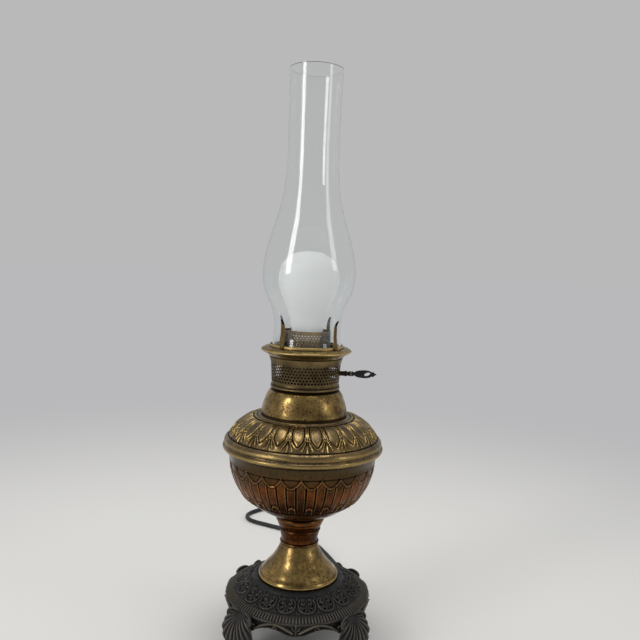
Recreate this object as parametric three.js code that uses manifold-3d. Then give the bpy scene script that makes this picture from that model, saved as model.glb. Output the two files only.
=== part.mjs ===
// Parlor lamp: an old centre-draught oil lamp that was wired for an electric bulb.
// Millimetres, +Z up, the table at z = 0, the lamp's axis on x = 0, y = 0, its front towards -Y.
import * as THREE from "three";
import { mergeVertices } from "three/addons/utils/BufferGeometryUtils.js";
import Module from "manifold-3d";

const wasm = await Module();
wasm.setup();

// Sizes that many pieces share
const touch_gap = 0.3;
const weld_distance = 1e-4;
const thread_gap = 0.4;
const cut_overrun = 2;
const sheet = 0.8;

// Facets round a turned piece
const wide_sides = 28;
const middle_sides = 24;
const narrow_sides = 16;
const pin_sides = 10;

// Heights of the stack, from the table up
const base_height = 62;
const pedestal_height = 34.5;
const stem_height = 27.5;
const bowl_height = 67.7;
const shoulder_height = 34.3;
const dome_height = 25.5;
const ring_height = 6.5;
const basket_height = 25;
const gallery_height = 10;
const chimney_height = 266.7;

// Cast base
const rim_radius = 71.4;
const rim_drop = 16.8;
const casting_wall = 3;
const boss_radius = 12;
const boss_depth = 8;
const seat_margin = 1.6;
const apron_drop = 16.5;
const apron_step = 1;
const base_columns = 36;
const foot_count = 4;
const foot_reach = 19.5;
const foot_width = 48;
const foot_thickness = 7;
const foot_crown = 5;
const knee_drop = 26;
const foot_root = 7;
const medallion_count = 18;
const medallion_radius = 8.6;
const medallion_reach = 54.6;
const medallion_rise = 1.2;
const medallion_sink = 2;
const medallion_sides = 6;

// Threaded pipe and the hardware on it
const pipe_radius = 5;
const pipe_bore_radius = 3.6;
const pipe_tail = 1;
const washer_radius = 11;
const washer_thickness = 1.6;
const nut_across_corners = 17;
const nut_height = 5.5;
const plate_thickness = 1.6;
const bushing_plug_length = 6;
const bushing_length = 18.5;
const bushing_flange_radius = 6.4;
const bushing_tip_radius = 3.9;
const wire_radius = 2.6;

// Brass pedestal and stem
const pedestal_rim_radius = 39.9;
const pedestal_neck_radius = 18.4;
const stem_waist_radius = 18.2;
const stem_flange_radius = 24.2;
const stem_wall = 1.2;

// Font
const bowl_rim_radius = 75.2;
const bowl_foot_radius = 23.4;
const bead_reach = 4;
const tongue_count = 24;
const tongue_rise = 1.1;
const tongue_turn = THREE.MathUtils.degToRad(-4);
const collar_margin = 3.2;
const collar_ledge = 9.6;
const draft_tube_radius = 19;

// Burner
const dome_foot_radius = 42.4;
const dome_top_radius = 33;
const dome_flange = 6;
const ring_bulge = 1;
const ring_wall = 3;
const basket_foot_radius = 33.2;
const basket_top_radius = 36;
const basket_rows = 3;
const basket_hole_radius = 2.6;
const deck_thickness = 1.2;
const deck_clearance = 1.2;
const screen_radius = 23.2;
const screen_rise = 16.8;
const screen_wall = 0.6;
const screen_rows = 1;
const screen_row_gap = 4.4;
const screen_hole_radius = 1.7;
const screen_hole_drop = 4.5;
const gallery_radius = 44.6;
const gallery_top_radius = 41;
const gallery_hole_radius = 31;

// Chimney prongs
const prong_count = 4;
const prong_turn = THREE.MathUtils.degToRad(5);
const prong_width = 4.3;
const prong_thickness = 0.7;
const prong_height = 28.5;
const prong_foot_length = 3.6;
const prong_flare = 3;
const rivet_radius = 1.5;
const rivet_head = 1.1;

// Glass chimney
const chimney_lip_radius = 34.4;
const chimney_fitter_radius = 32.9;
const chimney_bulge_radius = 45.7;
const chimney_neck_radius = 24.9;
const chimney_top_radius = 26.1;
const chimney_wall = 1.7;

// Light bulb
const bulb_radius = 29.8;
const bulb_glass_height = 86;
const bulb_neck_radius = 11.6;
const bulb_neck_tail = 4;
const bulb_wall = 0.8;
const bulb_base_radius = 13.1;
const bulb_base_height = 21.5;
const bulb_base_wall = 0.5;
const bulb_insulator_height = 3;
const bulb_contact_radius = 4.6;
const bulb_contact_height = 1;

// Socket
const socket_radius = 16.6;
const socket_wall = 0.7;
const socket_drop = 8.5;
const socket_cap_height = 15;
const socket_cap_hub_radius = 8.5;
const socket_cap_floor = 6.6;
const socket_shell_height = 42;
const socket_liner_wall = 1;
const socket_body_height = 23.9;
const socket_cavity_radius = 4;
const socket_cavity_height = 7;
const thread_clearance = 0.35;
const screw_shell_wall = 0.5;
const screw_shell_height = 25.5;
const contact_radius = 4;
const contact_height = 1.7;
const terminal_radius = 2.2;
const terminal_height = 1.4;
const terminal_spread = 10;

// Switch key
const key_height = 24.7;
const key_shaft_radius = 2.8;
const key_clearance = 0.4;
const key_root = 8;
const key_reach = 45;
const paddle_length = 25.7;
const paddle_height = 7.8;
const paddle_thickness = 2.5;

// Mains cord, its coil and its plug
const cord_diameter = 5.5;
const cord_sides = 8;
const coil_sides = 6;
const coil_steps_per_loop = 24;
const coil_loops = 6.25;
const coil_layers = 2;
const coil_inner_radius = 22.8;
const coil_pitch = 6.05;
const coil_lead_out = 32.5;
const tie_thickness = 1;
const tie_width = 6;
const tie_gap = 0.4;
const plug_length = 27;
const plug_width = 22;
const blade_length = 17.5;
const blade_height = 6.35;
const blade_thickness = 1.5;
const blade_spacing = 12.7;

// Route of the free cord, from the bushing to the coil, chosen by hand
const cord_route = [
  [0, 0, 27.1],
  [0, 0, 24.7],
  [0, 1.8, 16.2],
  [0.1, 6.8, 9],
  [0.5, 14.2, 4.4],
  [1.7, 23.5, 2.8],
  [5, 36, 2.8],
  [11, 49, 2.8],
  [20, 60, 2.8],
  [32, 68.5, 2.8],
  [46, 73.4, 2.8],
  [58, 76.6, 2.8],
  [68.6, 82.9, 2.8],
  [74.7, 93.4, 2.8],
  [74.9, 105.4, 2.8],
  [69, 117, 2.8],
  [60, 131, 2.8],
  [47, 155, 2.8],
  [35, 187, 2.8],
  [21, 218, 2.8],
  [1, 246, 2.8],
  [-22, 266, 2.8],
  [-45, 279.5, 2.8],
  [-65.6, 291.6, 2.8],
  [-74.4, 300.8, 2.8],
  [-77.8, 313, 2.8],
  [-74.4, 325, 2.8],
  [-64.5, 336.5, 3],
  [-54.5, 346.5, 3.5],
  [-48.7, 357, 4],
  [-47, 366.5, 4.15],
  [-47, 369.5, 4.15],
  [-47, 372.2, 4.15],
];
const coil_centre = [-5.3, 378];

const TAU = 2 * Math.PI;
const corner_share = 0.8;
const rounding_share = 1e-6;
const mix = (from, to, share) => from + (to - from) * share;

// Levels that follow from the heights
const seat_z = base_height;
const stem_z = seat_z + pedestal_height;
const font_z = stem_z + stem_height;
const seam_z = font_z + bowl_height;
const collar_z = seam_z + shoulder_height;
const deck_z = collar_z + dome_height;
const basket_z = deck_z + ring_height;
const gallery_z = basket_z + basket_height;
const ledge_z = gallery_z + gallery_height;
const chimney_z = ledge_z + touch_gap;
const boss_z = seat_z - boss_depth;
const washer_z = boss_z - washer_thickness;
const base_nut_z = washer_z - nut_height;
const pipe_z = base_nut_z - pipe_tail;
const plate_z = collar_z + plate_thickness;
const socket_z = deck_z - socket_drop;
const socket_floor_z = socket_z + socket_cap_floor;
const shell_z = socket_z + socket_cap_height;
const body_top_z = socket_floor_z + socket_body_height;
const contact_z = body_top_z + contact_height;
const bulb_z = contact_z + touch_gap;
const bulb_base_z = bulb_z + bulb_contact_height + bulb_insulator_height;
const bulb_glass_z = bulb_base_z + bulb_base_height;
const key_z = socket_z + key_height;

// Radii that follow from a neighbour
const pipe_hole_radius = pipe_radius + thread_gap;
const seat_radius = pedestal_rim_radius + seat_margin;
const collar_radius = dome_foot_radius + collar_margin;
const bead_radius = bowl_rim_radius + bead_reach;
const collar_hole_radius = collar_radius - collar_ledge;
const deck_hole_radius = socket_radius + deck_clearance;
const ring_inner_radius = basket_foot_radius - ring_wall;
const screw_shell_radius = bulb_base_radius + thread_clearance + screw_shell_wall;
const liner_radius = socket_radius - socket_wall - touch_gap;
const key_hole_radius = key_shaft_radius + key_clearance;
const prong_grip_radius = chimney_lip_radius + touch_gap + prong_thickness;
const coil_outer_radius = coil_inner_radius + (coil_pitch * coil_loops) / coil_layers;
const coil_z = cord_diameter / 2 + tie_thickness + tie_gap;
const coil_top_z = coil_z + coil_pitch * (coil_layers - 1);

// A geometry with shared corners, no flat triangles and every face outwards
function closed(geometry) {
  const bare = geometry.clone();
  for (const name of Object.keys(bare.attributes)) {
    if (name !== "position") bare.deleteAttribute(name);
  }
  const merged = mergeVertices(bare, weld_distance);
  const place = merged.attributes.position;
  const index = merged.index.array;
  const kept = [];
  const [a, b, c] = [new THREE.Vector3(), new THREE.Vector3(), new THREE.Vector3()];
  let volume = 0;
  for (let i = 0; i < index.length; i += 3) {
    const [p, q, r] = [index[i], index[i + 1], index[i + 2]];
    if (p === q || q === r || r === p) continue;
    kept.push(p, q, r);
    a.fromBufferAttribute(place, p);
    b.fromBufferAttribute(place, q);
    c.fromBufferAttribute(place, r);
    volume += a.dot(b.cross(c)) / 6;
  }
  if (volume < 0) kept.reverse();
  merged.setIndex(kept);
  merged.computeVertexNormals();
  return merged;
}

// A closed loop of [radius, height] points turned round the Z axis
function turned(loop, sides = wide_sides) {
  const points = [...loop, loop[0]].map(([r, z]) => new THREE.Vector2(r, z));
  return closed(new THREE.LatheGeometry(points, sides).rotateX(Math.PI / 2));
}

// The loop of a sheet that follows an outline, with its thickness on the left of the path
function sheet_loop(outline, wall, keep = 1) {
  const last = outline.length - 1;
  const side = (i) => {
    const [from, to] = [outline[i], outline[i + 1]];
    const run = Math.hypot(to[0] - from[0], to[1] - from[1]);
    return [-(to[1] - from[1]) / run, (to[0] - from[0]) / run];
  };
  // At its ends the sheet is cut level, or plumb where the outline runs level
  const end = ([r, z], [nr, nz]) =>
    Math.abs(nr) > Math.abs(nz) ? [r + wall / nr, z] : [r, z + wall / nz];
  const inner = [end(outline[last], side(last - 1))];
  for (let i = last - 1; i > 0; i -= 1) {
    const [n, m] = [side(i - 1), side(i)];
    const corner = Math.abs(n[0] * m[0] + n[1] * m[1]) < corner_share;
    if (i % keep !== 0 && !corner) continue;
    const scale = wall / (1 + n[0] * m[0] + n[1] * m[1]);
    inner.push([outline[i][0] + (n[0] + m[0]) * scale, outline[i][1] + (n[1] + m[1]) * scale]);
  }
  inner.push(end(outline[0], side(0)));
  return [...outline, ...inner];
}

// A plain tube or ring between two radii and two levels
function ring(inner, outer, low, high, sides = wide_sides) {
  const loop = [
    [inner, low],
    [outer, low],
    [outer, high],
    [inner, high],
  ];
  return turned(loop, sides);
}

// A solid disc or pin between two levels
function disc(radius, low, high, sides = narrow_sides) {
  const loop = [
    [0, low],
    [radius, low],
    [radius, high],
    [0, high],
  ];
  return turned(loop, sides);
}

// A skin over rows of points, each row a closed loop; the ends are capped, or joined in a ring
function skin(rows, joined = false) {
  const count = rows[0].length;
  const positions = rows.flat(2);
  const index = [];
  const spans = joined ? rows.length : rows.length - 1;
  for (let i = 0; i < spans; i += 1) {
    const next = (i + 1) % rows.length;
    for (let j = 0; j < count; j += 1) {
      const k = (j + 1) % count;
      const [a, b, c, d] = [i * count + j, i * count + k, next * count + k, next * count + j];
      index.push(a, b, c, a, c, d);
    }
  }
  if (!joined) {
    const top = (rows.length - 1) * count;
    for (let j = 1; j < count - 1; j += 1) {
      index.push(0, j + 1, j, top, top + j, top + j + 1);
    }
  }
  const geometry = new THREE.BufferGeometry();
  geometry.setAttribute("position", new THREE.Float32BufferAttribute(positions, 3));
  geometry.setIndex(index);
  return closed(geometry);
}

// A round bar of flat facets along a curve
function bar_along(curve, radius, sides, steps) {
  const section = new THREE.Shape();
  for (let i = 0; i < sides; i += 1) {
    const turn = (TAU * (i + 1 / 2)) / sides;
    const [x, y] = [radius * Math.cos(turn), radius * Math.sin(turn)];
    if (i === 0) section.moveTo(x, y);
    else section.lineTo(x, y);
  }
  section.closePath();
  return closed(new THREE.ExtrudeGeometry(section, { steps, extrudePath: curve }));
}

// A flat outline with holes, raised to a thickness about its own plane
function plate(outline, thickness, holes = []) {
  const shape = new THREE.Shape(outline.map(([x, y]) => new THREE.Vector2(x, y)));
  shape.holes = holes.map((hole) => new THREE.Path(hole.map(([x, y]) => new THREE.Vector2(x, y))));
  const geometry = new THREE.ExtrudeGeometry(shape, { depth: thickness, bevelEnabled: false });
  return geometry.translate(0, 0, -thickness / 2);
}

function round_outline(radius, sides, turn = 0) {
  return Array.from({ length: sides }, (_, i) => {
    const angle = turn + (TAU * i) / sides;
    return [radius * Math.cos(angle), radius * Math.sin(angle)];
  });
}

function solid(geometry) {
  const shared = closed(geometry);
  const mesh = new wasm.Mesh({
    numProp: 3,
    vertProperties: shared.attributes.position.array,
    triVerts: new Uint32Array(shared.index.array),
  });
  return new wasm.Manifold(mesh);
}

function geometry_of(body) {
  const mesh = body.getMesh();
  const geometry = new THREE.BufferGeometry();
  geometry.setAttribute("position", new THREE.BufferAttribute(mesh.vertProperties, 3));
  geometry.setIndex(new THREE.BufferAttribute(mesh.triVerts, 1));
  geometry.computeVertexNormals();
  return geometry;
}

function cut(geometry, tools) {
  let body = solid(geometry);
  for (const tool of tools) body = body.subtract(solid(tool));
  return geometry_of(body);
}

// A pin-shaped cutter that leaves the axis towards an angle, at a height
function side_cutter(radius, from, to, angle, height, sides = pin_sides) {
  const pin = new THREE.CylinderGeometry(radius, radius, to - from, sides);
  pin.rotateZ(-Math.PI / 2).translate((from + to) / 2, 0, height);
  return pin.rotateZ(angle);
}

// Middles of every other facet of a turned piece, which alternate from row to row
function facet_angles(sides, row) {
  return Array.from({ length: sides / 2 }, (_, i) => (TAU * (2 * i + (row % 2) + 1 / 2)) / sides);
}

const lamp = new THREE.Group();

function finish(colour, roughness, metalness) {
  return new THREE.MeshStandardMaterial({ color: colour, roughness, metalness });
}

const black_iron = finish("#26262a", 0.55, 0.4);
const polished_brass = finish("#a8853f", 0.3, 1);
const aged_brass = finish("#7d6233", 0.4, 1);
const dark_brass = finish("#574a30", 0.5, 1);
const steel = finish("#8d8c88", 0.4, 1);
const black_plastic = finish("#17171a", 0.5, 0);
const black_rubber = finish("#121214", 0.7, 0);
const paper_liner = finish("#5d4a35", 0.9, 0);
const frosted_glass = finish("#eceeec", 0.4, 0);
const clear_glass = new THREE.MeshStandardMaterial({
  color: "#e6eeee",
  roughness: 0.05,
  metalness: 0,
  transparent: true,
  opacity: 0.25,
});

function add(name, geometry, material, parent = lamp) {
  const mesh = new THREE.Mesh(geometry, material.clone());
  mesh.name = name;
  parent.add(mesh);
  return mesh;
}

// Cast base: a domed round top, an apron with scalloped hem, and four scroll feet
const base_shares = [
  [0.12, 0.07],
  [0.56, 0.53],
  [0.9, 0.86],
  [1, 1],
];
// Depth of the apron's hem along an eighth of the round, from a side's centre to a foot
const hem_shares = [1, 0.85, 0.42, 0.3, 0.32, 0.45, 0.7, 0.9, 1];

function base_section(angle) {
  const rim_z = seat_z - rim_drop;
  const eighth = TAU / (2 * foot_count);
  const turn = Math.abs(((angle + eighth) % (2 * eighth)) - eighth) / eighth;
  const spot = turn * (hem_shares.length - 1);
  const low = Math.min(Math.floor(spot + rounding_share), hem_shares.length - 2);
  const hem = rim_z - apron_drop * mix(hem_shares[low], hem_shares[low + 1], spot - low);
  const top = base_shares.map(([out, down]) => [
    mix(seat_radius, rim_radius, out),
    seat_z - rim_drop * down,
  ]);
  const inside = rim_radius - apron_step - casting_wall;
  const loop = [
    [pipe_hole_radius, seat_z],
    [seat_radius, seat_z],
    ...top,
    [rim_radius, rim_z - casting_wall / 2],
    [rim_radius - apron_step, rim_z - casting_wall],
    [rim_radius - apron_step, hem],
    [inside, hem],
    [inside, rim_z - casting_wall / 2],
    [top[1][0], top[1][1] - casting_wall],
    [seat_radius, seat_z - casting_wall],
    [boss_radius, seat_z - casting_wall],
    [boss_radius, boss_z],
    [pipe_hole_radius, boss_z],
  ];
  return loop.map(([r, z]) => [r * Math.cos(angle), r * Math.sin(angle), z]);
}

// Stations of a shell foot: reach, height, width, thickness and how far its edges bend back
const foot_shares = [
  [-0.05, 1.05, 0.36, 0.6, 0],
  [0.3, 1.16, 0.6, 0.9, 0],
  [0.72, 1.22, 0.9, 1, -0.4],
  [0.96, 1.1, 1, 1, 0.5],
  [1, 0.86, 1, 1, 1],
  [0.93, 0.56, 0.76, 1, 1],
  [0.66, 0.3, 0.5, 1, 0.7],
  [0.62, -0.1, 0.455, 1.15, 0.6],
];

// Section of a foot, ribbed on its face: across and out, going round
const foot_section_shares = [
  [1, 0],
  [0.72, 1],
  [0.48, 0.35],
  [0.24, 1.2],
  [0, 0.5],
  [-0.24, 1.2],
  [-0.48, 0.35],
  [-0.72, 1],
  [-1, 0],
  [-0.5, -0.85],
  [0.5, -0.85],
];

function foot(angle) {
  const knee_z = base_height - knee_drop;
  const spine = foot_shares.map(([out, up]) => [
    rim_radius - foot_root + (foot_root + foot_reach) * out,
    knee_z * up,
  ]);
  const rows = foot_shares.map(([, , wide, thick, bend], i) => {
    const from = spine[Math.max(i - 1, 0)];
    const to = spine[Math.min(i + 1, spine.length - 1)];
    const run = Math.hypot(to[0] - from[0], to[1] - from[1]);
    const out = [-(to[1] - from[1]) / run, (to[0] - from[0]) / run];
    return foot_section_shares.map(([across, proud]) => {
      const rise = (foot_thickness * thick * proud) / 2 - foot_crown * bend * across ** 2;
      const r = spine[i][0] + out[0] * rise;
      const z = spine[i][1] + out[1] * rise;
      const w = (foot_width * wide * across) / 2;
      return [
        r * Math.cos(angle) - w * Math.sin(angle),
        r * Math.sin(angle) + w * Math.cos(angle),
        z,
      ];
    });
  });
  return skin(rows);
}

const base_rows = Array.from({ length: base_columns }, (_, i) =>
  base_section((TAU * i) / base_columns),
);
let base_body = solid(skin(base_rows, true));
for (let i = 0; i < foot_count; i += 1) {
  base_body = base_body.add(solid(foot((TAU * (i + 1 / 2)) / foot_count)));
}

// Cast medallions on the slope of the top, each a low frustum square to the slope
const slope_run = [base_shares[2][0] - base_shares[0][0], base_shares[2][1] - base_shares[0][1]];
const slope_tilt = Math.atan2(rim_drop * slope_run[1], (rim_radius - seat_radius) * slope_run[0]);
const medallion_out = (medallion_reach - seat_radius) / (rim_radius - seat_radius);
const medallion_down =
  base_shares[0][1] + ((medallion_out - base_shares[0][0]) * slope_run[1]) / slope_run[0];
for (let i = 0; i < medallion_count; i += 1) {
  const medallion = new THREE.CylinderGeometry(
    medallion_radius - medallion_rise,
    medallion_radius,
    medallion_rise + medallion_sink,
    medallion_sides,
  );
  medallion.translate(0, (medallion_rise - medallion_sink) / 2, 0).rotateX(Math.PI / 2);
  medallion.rotateY(slope_tilt).translate(medallion_reach, 0, seat_z - rim_drop * medallion_down);
  medallion.rotateZ((TAU * (i + 1 / 2)) / medallion_count);
  base_body = base_body.add(solid(medallion));
}

const floor_span = 4 * rim_radius;
const under_floor = new THREE.BoxGeometry(floor_span, floor_span, base_height);
under_floor.translate(0, 0, -base_height / 2);
base_body = base_body.subtract(solid(under_floor));
add("base_casting", geometry_of(base_body), black_iron);

// Spun brass pedestal that flares over the base's seat
const pedestal_shares = [
  [0.965, 0],
  [1, 0.08],
  [0.965, 0.155],
  [0.75, 0.28],
  [0.46, 0.465],
  [0.2, 0.7],
  [0.05, 0.9],
  [0, 1],
];
const pedestal_outline = pedestal_shares.map(([out, up]) => [
  mix(pedestal_neck_radius, pedestal_rim_radius, out),
  seat_z + pedestal_height * up,
]);
pedestal_outline.push([pipe_hole_radius, stem_z]);
add("pedestal_cone", turned(sheet_loop(pedestal_outline, sheet, 2)), polished_brass);

// Turned stem cup between the pedestal and the font
const stem_shares = [
  [0.1, 0.06],
  [0, 0.12],
  [0.08, 0.28],
  [0.36, 0.5],
  [0.64, 0.66],
  [0.78, 0.8],
  [1, 0.85],
  [1, 0.96],
];
const stem_outline = [
  [pipe_hole_radius, stem_z],
  [mix(stem_waist_radius, stem_flange_radius, stem_shares[0][0]), stem_z],
  ...stem_shares.map(([out, up]) => [
    mix(stem_waist_radius, stem_flange_radius, out),
    stem_z + stem_height * up,
  ]),
  [bowl_foot_radius, font_z],
];
add("stem_cup", turned(sheet_loop(stem_outline, stem_wall, 2), narrow_sides), aged_brass);

// Font: a pressed bowl below and a domed shoulder above, seamed under the big bead
const bowl_shares = [
  [0.03, 0.03],
  [0.245, 0.095],
  [0.42, 0.175],
  [0.575, 0.27],
  [0.7, 0.38],
  [0.805, 0.505],
  [0.875, 0.635],
  [0.915, 0.74],
  [0.925, 0.82],
  [0.965, 0.885],
];
const bowl_outline = [
  [pipe_hole_radius, font_z],
  [bowl_foot_radius, font_z],
  ...bowl_shares.map(([out, up]) => [
    mix(bowl_foot_radius, bowl_rim_radius, out),
    font_z + bowl_height * up,
  ]),
  [bowl_rim_radius, seam_z],
];
add("font_bowl", turned(sheet_loop(bowl_outline, sheet, 2)), aged_brass);

const shoulder_shares = [
  [0.98, 0.035],
  [1, 0.095],
  [0.905, 0.19],
  [0.955, 0.25],
  [0.875, 0.37],
  [0.765, 0.49],
  [0.7, 0.575],
  [0.62, 0.665],
  [0.415, 0.825],
  [0.19, 0.925],
  [0.02, 0.953],
];
// How proud each of these places is on a tongue, and in the fan between two tongues
const tongue_shares = [0, 0, 0, 0, 0, -0.2, 0.6, 1, 0.8, 0.4, 0];
const fan_shares = [0, 0, 0, 0, 0, 0.9, 0.5, -0.3, -0.6, -0.4, 0];

// The shoulder's outline, raised by each place's share of the tongues' height
function shoulder_outline(proud) {
  return [
    [bowl_rim_radius, seam_z],
    ...shoulder_shares.map(([out, up], i) => [
      mix(collar_radius, bead_radius, out) + tongue_rise * proud[i] * up,
      seam_z + shoulder_height * up + tongue_rise * proud[i] * out,
    ]),
    [collar_radius, collar_z],
    [collar_hole_radius, collar_z],
  ];
}

const shoulder_plain = shoulder_outline(shoulder_shares.map(() => 0));
const shoulder_wall = sheet + tongue_rise / 2;
const shoulder_back = sheet_loop(shoulder_plain, shoulder_wall, 12).slice(shoulder_plain.length);

function shoulder_section(column) {
  const angle = tongue_turn + (TAU * column) / (2 * tongue_count);
  const loop = [...shoulder_outline(column % 2 === 0 ? tongue_shares : fan_shares), ...shoulder_back];
  return loop.map(([r, z]) => [r * Math.cos(angle), r * Math.sin(angle), z]);
}

const shoulder_rows = Array.from({ length: 2 * tongue_count }, (_, i) => shoulder_section(i));
add("font_shoulder", skin(shoulder_rows, true), polished_brass);

const draft_tube = ring(
  draft_tube_radius - sheet,
  draft_tube_radius,
  font_z + sheet,
  collar_z,
  narrow_sides,
);
add("draft_tube", draft_tube, dark_brass);

// Burner: cap dome, ring, perforated basket, deck, inner screen and gallery
const dome_shares = [
  [0.98, 0.08],
  [0.83, 0.4],
  [0.48, 0.78],
];
const dome_outline = [
  [dome_foot_radius, collar_z],
  ...dome_shares.map(([out, up]) => [
    mix(dome_top_radius, dome_foot_radius, out),
    collar_z + dome_height * up,
  ]),
  [dome_top_radius, deck_z],
  [dome_top_radius - dome_flange, deck_z],
];
add("burner_dome", turned(sheet_loop(dome_outline, sheet, 2)), polished_brass);

const ring_shares = [0.3, 0.75];
const ring_loop = [
  [ring_inner_radius, deck_z],
  [dome_top_radius, deck_z],
  ...ring_shares.map((up) => [basket_foot_radius + ring_bulge, mix(deck_z, basket_z, up)]),
  [basket_foot_radius, basket_z],
  [ring_inner_radius, basket_z],
];
add("burner_ring", turned(ring_loop), dark_brass);

const basket_shares = [
  [0, 0],
  [0.42, 0.74],
  [0.75, 0.9],
  [1, 1],
];
const basket_outline = basket_shares.map(([out, up]) => [
  mix(basket_foot_radius, basket_top_radius, out),
  basket_z + basket_height * up,
]);
const basket_reach = [basket_foot_radius - basket_height / 2, basket_top_radius + cut_overrun];
const basket_tools = [side_cutter(key_hole_radius, ...basket_reach, 0, key_z)];
const [first_row_share, row_pitch_share] = [0.17, 0.2];
for (let row = 0; row < basket_rows; row += 1) {
  const height = basket_z + basket_height * (first_row_share + row_pitch_share * row);
  for (const angle of facet_angles(wide_sides, row)) {
    const beside_key = Math.sin(angle) * basket_foot_radius;
    const from_key = Math.hypot(beside_key, height - key_z);
    const room = key_hole_radius + basket_hole_radius + sheet;
    if (from_key < room && Math.cos(angle) > 0) continue;
    basket_tools.push(side_cutter(basket_hole_radius, ...basket_reach, angle, height, 4));
  }
}
add("burner_basket", cut(turned(sheet_loop(basket_outline, sheet)), basket_tools), dark_brass);

const screen_floor_z = deck_z + deck_thickness;
const screen_top_z = ledge_z + screen_rise;
const deck_radius = ring_inner_radius - touch_gap;
add("burner_deck", ring(deck_hole_radius, deck_radius, deck_z, screen_floor_z), dark_brass);

const screen_reach = [screen_radius - screen_wall - cut_overrun, screen_radius + cut_overrun];
const screen_tools = [side_cutter(key_hole_radius, ...screen_reach, 0, key_z)];
for (let row = 0; row < screen_rows; row += 1) {
  const height = screen_top_z - screen_hole_drop - screen_row_gap * row;
  for (const angle of facet_angles(middle_sides, row)) {
    screen_tools.push(side_cutter(screen_hole_radius, ...screen_reach, angle, height, 4));
  }
}
const screen_tube = ring(
  screen_radius - screen_wall,
  screen_radius,
  screen_floor_z,
  screen_top_z,
  middle_sides,
);
add("inner_screen", cut(screen_tube, screen_tools), dark_brass);

const gallery_shares = [
  [0.93, 0.54],
  [1, 0.7],
  [0.86, 0.86],
];
const gallery_loop = [
  [basket_top_radius, gallery_z],
  ...gallery_shares.map(([out, up]) => [
    mix(basket_top_radius, gallery_radius, out),
    gallery_z + gallery_height * up,
  ]),
  [gallery_top_radius, ledge_z],
  [gallery_hole_radius, ledge_z],
  [gallery_hole_radius, ledge_z - 2 * sheet],
  [basket_top_radius - sheet, gallery_z],
];
add("gallery_ring", turned(gallery_loop), aged_brass);

// Four spring prongs riveted round the gallery, which hold the chimney upright
const prong_end_radius = gallery_top_radius - touch_gap;
const prong_bend_radius = prong_end_radius - prong_foot_length;
const prong_mid = prong_grip_radius - prong_thickness / 2;
const prong_low = ledge_z + prong_thickness / 2;
// From the bend to the grip each point goes inwards, and from the grip to the tip outwards
const prong_grip_shares = [
  [0.35, 0.1],
  [1, 0.4],
];
const prong_tip_shares = [
  [0, 0.68],
  [0.25, 0.85],
  [1, 1],
];
const prong_line = [
  [prong_end_radius, prong_low],
  [prong_bend_radius, prong_low],
  ...prong_grip_shares.map(([inward, up]) => [
    mix(prong_bend_radius, prong_mid, inward),
    ledge_z + prong_height * up,
  ]),
  ...prong_tip_shares.map(([out, up]) => [
    prong_mid + prong_flare * out,
    ledge_z + prong_height * up,
  ]),
];
const rivet_shares = [0.7, 0.75];
for (let i = 0; i < prong_count; i += 1) {
  const angle = prong_turn + (TAU * (i + 1 / 2)) / prong_count;
  const strip = sheet_loop(prong_line, prong_thickness / 2).slice(prong_line.length);
  const back = sheet_loop([...prong_line].reverse(), prong_thickness / 2);
  const outline = [...strip, ...back.slice(prong_line.length)];
  const prong = plate(outline, prong_width).rotateX(Math.PI / 2).rotateZ(angle);
  add(`prong_${i + 1}`, closed(prong), aged_brass);
  const rivet_z = ledge_z + prong_thickness;
  const head_loop = [
    [0, rivet_z],
    [rivet_radius, rivet_z],
    [rivet_radius * rivet_shares[0], rivet_z + rivet_head * rivet_shares[1]],
    [0, rivet_z + rivet_head],
  ];
  const rivet = turned(head_loop, pin_sides);
  rivet.translate(prong_end_radius - rivet_radius, 0, 0).rotateZ(angle);
  add(`prong_rivet_${i + 1}`, rivet, dark_brass);
}

// Blown glass chimney that stands on the gallery
const fitter_shares = [0.03, 0.1];
const chimney_shares = [
  [0.49, 0.137],
  [0.71, 0.174],
  [0.89, 0.21],
  [1, 0.265],
  [0.925, 0.32],
  [0.7, 0.392],
  [0.293, 0.5],
  [0.065, 0.605],
  [0, 0.715],
];
const chimney_outline = [
  [chimney_lip_radius, chimney_z],
  ...fitter_shares.map((up) => [chimney_fitter_radius, chimney_z + chimney_height * up]),
  ...chimney_shares.map(([out, up]) => [
    mix(chimney_neck_radius, chimney_bulge_radius, out),
    chimney_z + chimney_height * up,
  ]),
  [chimney_top_radius, chimney_z + chimney_height],
];
add("chimney_glass", turned(sheet_loop(chimney_outline, chimney_wall), middle_sides), clear_glass);

// Light bulb: frosted glass, screw base, black glass insulator and end contact
const bulb_shares = [
  [0.52, 0.14],
  [0.63, 0.32],
  [0.82, 0.48],
  [0.955, 0.595],
  [1, 0.71],
  [0.91, 0.84],
  [0.7, 0.925],
  [0.4, 0.98],
];
const bulb_outline = [
  [bulb_neck_radius, bulb_glass_z - bulb_neck_tail],
  [bulb_neck_radius, bulb_glass_z + touch_gap],
  ...bulb_shares.map(([out, up]) => [bulb_radius * out, bulb_glass_z + bulb_glass_height * up]),
  [0, bulb_glass_z + bulb_glass_height],
];
add("bulb_glass", turned(sheet_loop(bulb_outline, bulb_wall), narrow_sides), frosted_glass);

const thread_shares = [0.2, 0.45, 0.7];
const thread_half_share = 0.05;
const thread_end_share = 0.9;
const thread_root_radius = bulb_base_radius - thread_clearance;
const bulb_base_inner = thread_root_radius - bulb_base_wall;
const bulb_base_loop = [
  [bulb_base_inner, bulb_base_z],
  [thread_root_radius, bulb_base_z],
  ...thread_shares.flatMap((up) => [
    [thread_root_radius, bulb_base_z + bulb_base_height * (up - thread_half_share)],
    [bulb_base_radius, bulb_base_z + bulb_base_height * (up + thread_half_share)],
  ]),
  [thread_root_radius, bulb_base_z + bulb_base_height * thread_end_share],
  [thread_root_radius, bulb_glass_z],
  [bulb_base_inner, bulb_glass_z],
];
add("bulb_screw_base", turned(bulb_base_loop, narrow_sides), steel);

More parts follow.
